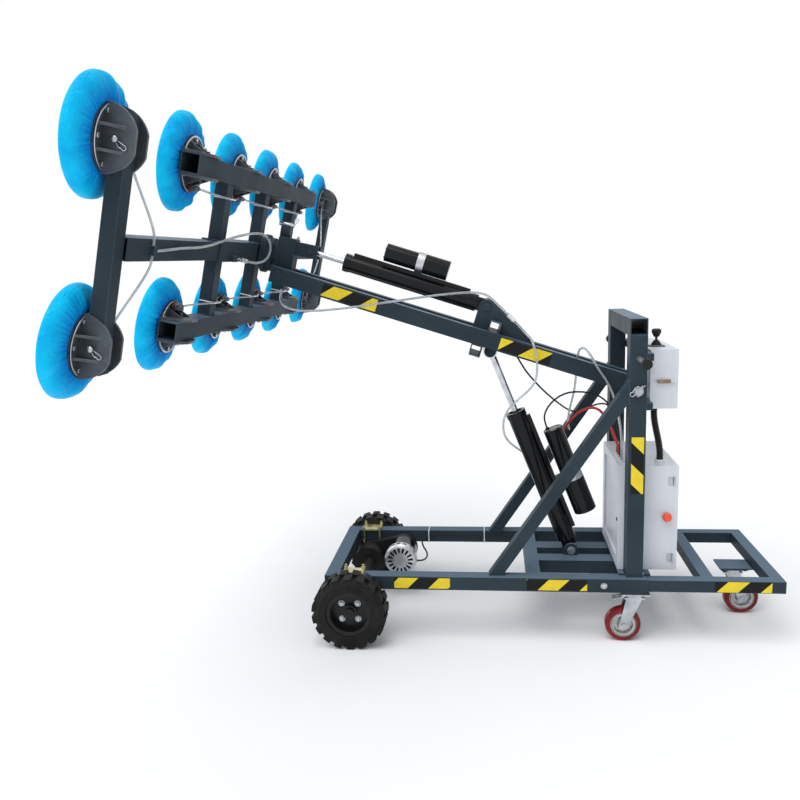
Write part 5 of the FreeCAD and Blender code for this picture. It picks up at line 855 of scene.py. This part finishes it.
for group, body, side_place, row_place in CUP_PLACES:
    if group == "frame":
        pin_end, along_way, side_way = FRAME_CLIP
        out = np.array((0, 0, np.sign(row_place)))
    else:
        pin_end, along_way, side_way = ARM_CLIP
        out = np.array((0, np.sign(side_place), 0))
    middle = np.array((0, side_place, row_place))
    pin = middle + (PIN_BACK, 0, 0)
    clip = clip_shape(pin + pin_end * out, along_way, side_way, HEAD)
    cap = turned(PIN_CAP, placed(pin + (pin_end + CAP_PAST_CLIP) * out, HEAD), heading(out, HEAD))
    disc = middle + (DISC_BACK, 0, 0)
    spots = placed(disc + circle_spots(SCREW_COUNT, SCREW_CIRCLE, math.atan2(-out[1], out[2])), HEAD)
    screws = [turned(HEX_HEAD, spot, back_way, 6) for spot in spots]
    sleeve = turned(SLEEVE, placed(middle + (PORT_BACK, 0, 0) - PORT_REACH * out, HEAD), back_way)
    rim = turned(RIM, placed(disc, HEAD), back_way, 72)
    for kind, shapes in zip(CUP_FITTINGS, ([clip, cap], screws, [sleeve], [rim])):
        cup_shapes.setdefault((body, kind), []).extend(shapes)
for (body, kind), shapes in cup_shapes.items():
    tag = body.replace(" ", "_")
    made(f"{kind}_{tag}", gathered(shapes), CUP_FITTINGS[kind], body, smooth=kind != "cup_screws")

# %% [markdown]
# ## Warning tape
# Bands of black and yellow tape lie on the sides of the rails, the mast and the boom. A strip is a thin
# slab whose UV map counts real metres, so one stripe width fits every strip. The stripes lean because
# the pattern adds the way along to the way across before it repeats.

# %% Tape finish
STRIPE_STEP = 0.177
YELLOW_SHARE = 0.49
STRIPE_BLACK = (12, 12, 13)
tape_stripes = finish(
    "tape_stripes", (238, 212, 50), (228, 200, 44), scale=30, rough=(0.34, 0.5), grain=300,
    Specular_IOR_Level=0.22,
)
tape_tree = tape_stripes.node_tree
tape_place = coordinate(tape_tree, "UV")
tape_lean = maths(tape_tree, "ADD", one_of(tape_tree, tape_place, 0), one_of(tape_tree, tape_place, 1))
tape_share = maths(tape_tree, "FRACT", maths(tape_tree, "DIVIDE", tape_lean, STRIPE_STEP))
lay_over(tape_stripes, maths(tape_tree, "GREATER_THAN", tape_share, YELLOW_SHARE), STRIPE_BLACK)

# %% Strips of tape
TAPE_LIFT = 0.05
TAPE_THICKNESS = 0.5
SLAB_FACES = [(0, 3, 2, 1), (4, 5, 6, 7), (0, 1, 5, 4), (1, 2, 6, 5), (2, 3, 7, 6), (3, 0, 4, 7)]


def tape(name, part, start, size, body, shift, lean):
    """A thin slab from a start corner, its map in metres along and up, shifted and leaned for the stripes."""
    length, height = size
    shares = np.array([(0, 0), (1, 0), (1, 1), (0, 1)], float)
    flat = start + np.insert(shares * size, 1, 0, axis=1)
    out = np.array((0, np.sign(start[1]), 0))
    inner = flat + TAPE_LIFT * out
    mesh = bpy.data.meshes.new(name)
    mesh.from_pydata(placed(np.concatenate([inner, inner + TAPE_THICKNESS * out]), part), [], SLAB_FACES)
    corners = np.array(SLAB_FACES).ravel() % 4
    metres = shares[corners] * (length / 1000, lean * height / 1000) + (shift, 0)
    mesh.uv_layers.new(name="UVMap").data.foreach_set("uv", metres.ravel())
    mesh.materials.append(tape_stripes)
    piece = linked(name, cleaned(mesh))
    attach(piece, body)
    return piece


TAPES = [
    ("rail_front", MAST, (784, 320, 231), (245, 48), "base", -0.009, 1.0),
    ("rail_middle", MAST, (199, 320, 231), (255, 48), "base", 0.055, 1.0),
    ("post", MAST, (-28, 297, 655), (50, 242), "base", 0.080, -1.0),
    ("rear", MAST, (-554, 315.5, 232), (228, 46), "rear", 0.042, 1.0),
    ("boom_front", BOOM, (1148, 110, -27), (252, 54), "boom", 0.006, 1.0),
    ("boom_rear", BOOM, (355, 110, -27), (230, 54), "boom", -0.052, 1.0),
]
for side, sign in SIDES:
    for tag, part, start, size, body, shift, lean in TAPES:
        tape(f"tape_{tag}_{side}", part, np.multiply(start, (1, sign, 1)), size, body, shift, lean)
print("tapes", len(SIDES) * len(TAPES))

# %% [markdown]
# ## Wheels and drive
# Four bright nuts hold each black rim, a thin ring lies on each face of a caster's hub, and a slotted
# aluminium bell closes the drive motor. A nut is a profile turned with six sides. The bell is a turned
# grid from which the faces of the slots are left out, and a Solidify modifier gives the rest its wall,
# so the dark winding space shows through.

# %% Wheel nuts, rail bolts and hub rings
WASHER = [(0, 0), (0, 14), (1.8, 14), (1.8, 0)]
NUT = [(1.8, 0), (1.8, 11), (10.5, 11), (12, 9.4), (12, 0)]
HUB_RING = [(0, 40), (0.7, 41.5), (1, 44.5), (0.7, 47.5), (0, 49), (0, 40)]
NUT_CIRCLE = 0.05
NUT_OUT = 0.014
NUT_COUNT = 4
RAIL_BOLT = (129, 320, 255)


def bolted(spots, way):
    """A round washer and a nut of six sides on each spot."""
    pairs = [(turned(WASHER, spot, way, 20), turned(NUT, spot, way, 6)) for spot in spots]
    return gathered(sum(pairs, ()))


for side, sign in SIDES:
    upright_circle = circle_spots(NUT_COUNT, NUT_CIRCLE)[:, [1, 0, 2]]
    spots = joint_place(f"{side}_drive") + upright_circle + (0, sign * NUT_OUT, 0)
    made(f"wheel_nuts_{side}", bolted(spots, (0, sign, 0)), bright_zinc, f"{side} drive wheel", smooth=False)
    spots = [placed(np.multiply(RAIL_BOLT, (1, sign, 1)), MAST)]
    made(f"rail_bolt_{side}", bolted(spots, (0, sign, 0)), bright_zinc, "base", smooth=False)
for side in CASTERS:
    hub = joint_place(f"{side}_roll")
    low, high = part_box(f"caster_wheel_{side}")
    half = (high.y - low.y) / 2
    rings = [turned(HUB_RING, hub + (0, sign * half, 0), (0, sign, 0), 48) for sign in (1, -1)]
    made(f"hub_rings_{side}", gathered(rings), bright_zinc, f"{side} caster")

# %% Motor bell
BELL = [
    (0, 71), (0, 76), (5, 77), (12, 77), (19, 77), (26, 77), (33, 76), (38, 71), (41, 62), (43, 50),
    (44.5, 38), (45, 26), (45, 0),
]
BELL_SIDES = 96
BELL_PLACE = (1048, -99, 205)
BELL_WALL = 0.002
SLOT_ROWS = (3, 4, 8, 9)
SLOT_STEP = 6
SLOT_WIDTH = 3
bell_points, bell_faces = turned(BELL, placed(BELL_PLACE, MAST), (0, 1, 0), BELL_SIDES)
bell_row, bell_column = np.divmod(np.arange(len(bell_faces)), BELL_SIDES)
in_slot = np.isin(bell_row, SLOT_ROWS) & (bell_column % SLOT_STEP < SLOT_WIDTH)
motor_bell = made("motor_bell", (bell_points, bell_faces[~in_slot]), aluminium, "base", smooth=False)
bell_wall = motor_bell.modifiers.new("wall", "SOLIDIFY")
bell_wall.thickness = BELL_WALL
bell_wall.offset = 1.0

# %% [markdown]
# ## Ribbed conduit
# A black ribbed conduit carries the wires from the cabinet to the control box. It is a round section
# along a line that leans over in a smooth step, and the ribs are a radius that rises and falls along it.

# %% Conduit and its gland
RIB_COUNT = 24
CONDUIT_FOOT = (-121, 160, 761)
CONDUIT_LEAN = 29
CONDUIT_HEIGHT = 242
CONDUIT_RADIUS = 13.4
RIB_HEIGHT = 1.5
GLAND = [(0, 15.2), (0, 21), (6, 21), (8, 18), (8, 15.2)]
way = np.linspace(0, 1, RIB_COUNT * 8 + 1)
ease = np.clip((way - 0.1) / 0.8, 0, 1)
ease = ease * ease * (3 - 2 * ease)
rise = np.stack([CONDUIT_LEAN * ease, np.zeros(len(way)), CONDUIT_HEIGHT * way], -1)
ribs = CONDUIT_RADIUS + RIB_HEIGHT * np.tanh(2.5 * np.sin(2 * np.pi * RIB_COUNT * way))
conduit_shape = bent_rod(placed(CONDUIT_FOOT + rise, MAST), (0, 1, 0), ribs / 1000, 24)
conduit = made("ribbed_conduit", conduit_shape, black_plastic, "base")
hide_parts("conduit")
gland = turned(GLAND, placed(CONDUIT_FOOT, MAST), (0, 0, 1), 12)
made("conduit_gland", gland, tie_white, "base", smooth=False)


# %% [markdown]
# ## Small plates, levers and the joystick boot
# A plate with soft corners is a few rounded loops, one above the other, that close to a point. The same
# loops make the latch's lever, the lock and the plate under the joystick. The rubber boot round the
# stick is a turned zigzag.

# %% Plates, latch, lock and boot
PILLOW_ROWS = ((0, 0), (0, 1), (0.7, 1), (1, 0.9), (1, 0))
PILLOW_SIDES = 48


def pillow(centre, half_one, half_two, out, part, thickness, power=6.0):
    """Rounded loops lifted by the thickness and drawn in at the top edge, closed at both middles."""
    rows = []
    for lift, share in PILLOW_ROWS:
        middle = centre + lift * thickness * np.array(out)
        halves = np.multiply(half_one, share), np.multiply(half_two, share)
        rows.append(rounded_loop(middle, *halves, power, PILLOW_SIDES))
    points = placed(np.array(rows).reshape(-1, 3), part)
    return points, grid_faces(len(rows), PILLOW_SIDES, round_columns=True)


BOOT = [(0, 26), (2, 25), (5, 19), (8, 21.5), (11, 15), (14, 17.5), (17, 11), (20, 12.5), (23, 6.5)]
PLATES = [
    ("latch_lever", latch_bronze, (-115, 236, 1119), (27, 0, 0), (0, 0, 8), (0, 1, 0), 5),
    ("latch_hook", bright_zinc, (-148, 236, 1119), (7, 0, 0), (0, 0, 6), (0, 1, 0), 4),
    ("stick_plate", black_plastic, (-107, 100, 1250), (34, 0, 0), (0, 34, 0), (0, 0, 1), 3),
]
for name, material, *form, thickness in PLATES:
    made(name, pillow(*form, MAST, thickness), material, "base")
boot_shape = turned(BOOT, placed((-107, 100, 1253.5), MAST), (0, 0, 1), 32)
boot = made("stick_boot", boot_shape, black_plastic, None)
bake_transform(boot)
cabinet_front = (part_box("cabinet_body")[1].x - MAST[0][0]) * 1000
lock = pillow((cabinet_front - 1, 200, 512), (0, 8, 0), (0, 0, 8), (1, 0, 0), MAST, 4, 2.0)
made("cabinet_lock", lock, black_plastic, "base")

# %% [markdown]
# ## Actuators, pins and ties
# A bright clamp ring joins each actuator's motor to its gear case, and four screws close the motor. A
# spring clip keeps the boom's pivot pin. On the head stands a lock: a block with a bright bar and a clip
# of its own. Couplings join the looped hoses, and white cable ties hold hoses to the tubes. A tie is a
# flat section along a closed, rounded loop, and a weld is a rounder one whose radius wavers.

# %% Clamp rings, motor screws and pivot clips
ACTUATORS = [("lift", LIFT, 303, 555, 127, 48), ("tilt", TILT, 321, 501, 97, 43)]
RING_RISE = [(0.3, -1), (0.3, 1.6), (1.3, 2.4), (32.7, 2.4), (33.7, 1.6), (33.7, -1), (0.3, -1)]
MOTOR_SCREWS = 4
MOTOR_SCREW_CIRCLE = 28
for tag, part, ring_start, motor_end, height, band in ACTUATORS:
    forward = heading((1, 0, 0), part)
    ring = turned(np.add(RING_RISE, (0, band)), placed((ring_start, 0, height), part), forward, 48)
    made(f"clamp_ring_{tag}", ring, aluminium, f"{tag} tube", smooth=False)
    spots = placed(circle_spots(MOTOR_SCREWS, MOTOR_SCREW_CIRCLE) + (motor_end, 0, height), part)
    screws = gathered([turned(HEX_HEAD, spot, forward, 6) for spot in spots])
    made(f"motor_screws_{tag}", screws, bright_zinc, f"{tag} tube", smooth=False)
for side, sign in SIDES:
    clip = clip_shape((-10, sign * 314, 1102), (0.72, 0, -0.69), (0.69, 0, 0.72), MAST, 1.3, 2.0)
    made(f"pivot_clip_{side}", clip, bright_zinc, "base")

# %% Lock on the head and hose couplings
LOCK_BAR = [(0, 0), (0, 7), (2, 9), (58, 9), (60, 7.5), (70, 7.5), (72, 5.5), (72, 0)]
COUPLING = [
    (0, 5.1), (0, 9), (3, 10), (10, 10), (13, 8), (24, 8), (27, 9.5), (34, 9.5), (36, 7), (36, 5.1), (0, 5.1),
]
lock_cap = pillow((-246.5, 0, 85), (39, 0, 0), (0, 39, 0), (0, 0, 1), HEAD, 4)
made("lock_cap", lock_cap, slate_paint, "head")
lock_block = pillow((-226, 0, 88), (19, 0, 0), (0, 19, 0), (0, 0, 1), HEAD, 49, 12)
made("lock_block", lock_block, slate_paint, "head")
lock_bar = turned(LOCK_BAR, placed((-188, 0, 145), HEAD), back_way, 24)
made("lock_bar", lock_bar, bright_zinc, "head")
lock_clip = clip_shape((-258, 0, 148), (-0.6, 0, 0.8), (0.8, 0, 0.6), HEAD, 0.8, 1.6)
made("lock_clip", lock_clip, bright_zinc, "head")
for side, sign in SIDES:
    coupling_way = heading((-18, -sign * 45, -6), HEAD)
    coupling = turned(COUPLING, placed((-149.5, sign * 346, -28), HEAD), coupling_way, 20)
    made(f"hose_coupling_{side}", coupling, bright_zinc, "cup frame")

# %% Ties, welds and the wrap on the hose union
TIE_SECTION = (0.0008, 0.0023)
RAIL_TIE_PLACES = (921, 640)
UPRIGHT_PLACES = (-505, 0, 505)
BEAD_POINTS = 240
BEAD_RADIUS = 0.0024
BEAD_WAVER = 0.0005
UNION_SLOPE = math.radians(27.6)
WRAP = [
    (0, 9.2), (2, 11.6), (5, 9.8), (9, 12), (13, 9.8), (18, 11.4), (24, 9.8), (29, 12.2), (33, 10),
    (38, 11.6), (40, 9.2),
]
rail_ties = []
for place in RAIL_TIE_PLACES:
    loop = placed(rounded_loop((place, -282, 255), (0, 39, 0), (0, 0, 31.2)), MAST)
    rail_ties.append(bent_rod(loop, (1, 0, 0), TIE_SECTION, closed=True))
made("rail_ties", gathered(rail_ties), tie_white, "base")
frame_ties = []
beads = []
row_up = heading((0, 0, 1), HEAD)
bead = BEAD_RADIUS + BEAD_WAVER * np.sin(np.arange(BEAD_POINTS) * 1.3)
for across_place in UPRIGHT_PLACES:
    for row in (1, -1):
        loop = placed(rounded_loop((-101.5, across_place, row * 201), (35.8, 0, 0), (0, 31.2, 0)), HEAD)
        frame_ties.append(bent_rod(loop, row_up, TIE_SECTION, closed=True))
        seam = rounded_loop((-92, across_place, row * 255.5), (25.6, 0, 0), (0, 30.6, 0), count=BEAD_POINTS)
        beads.append(bent_rod(placed(seam, HEAD), row_up, bead, closed=True))
made("frame_ties", gathered(frame_ties), tie_white, "cup frame")
made("frame_welds", gathered(beads), slate_paint, "cup frame")
union_way = heading((math.cos(UNION_SLOPE), 0, math.sin(UNION_SLOPE)), BOOM)
wrap = turned(WRAP, placed((551.07, 58, 108.6), BOOM), union_way, 24)
made("union_wrap", wrap, tie_white, "boom", smooth=False)
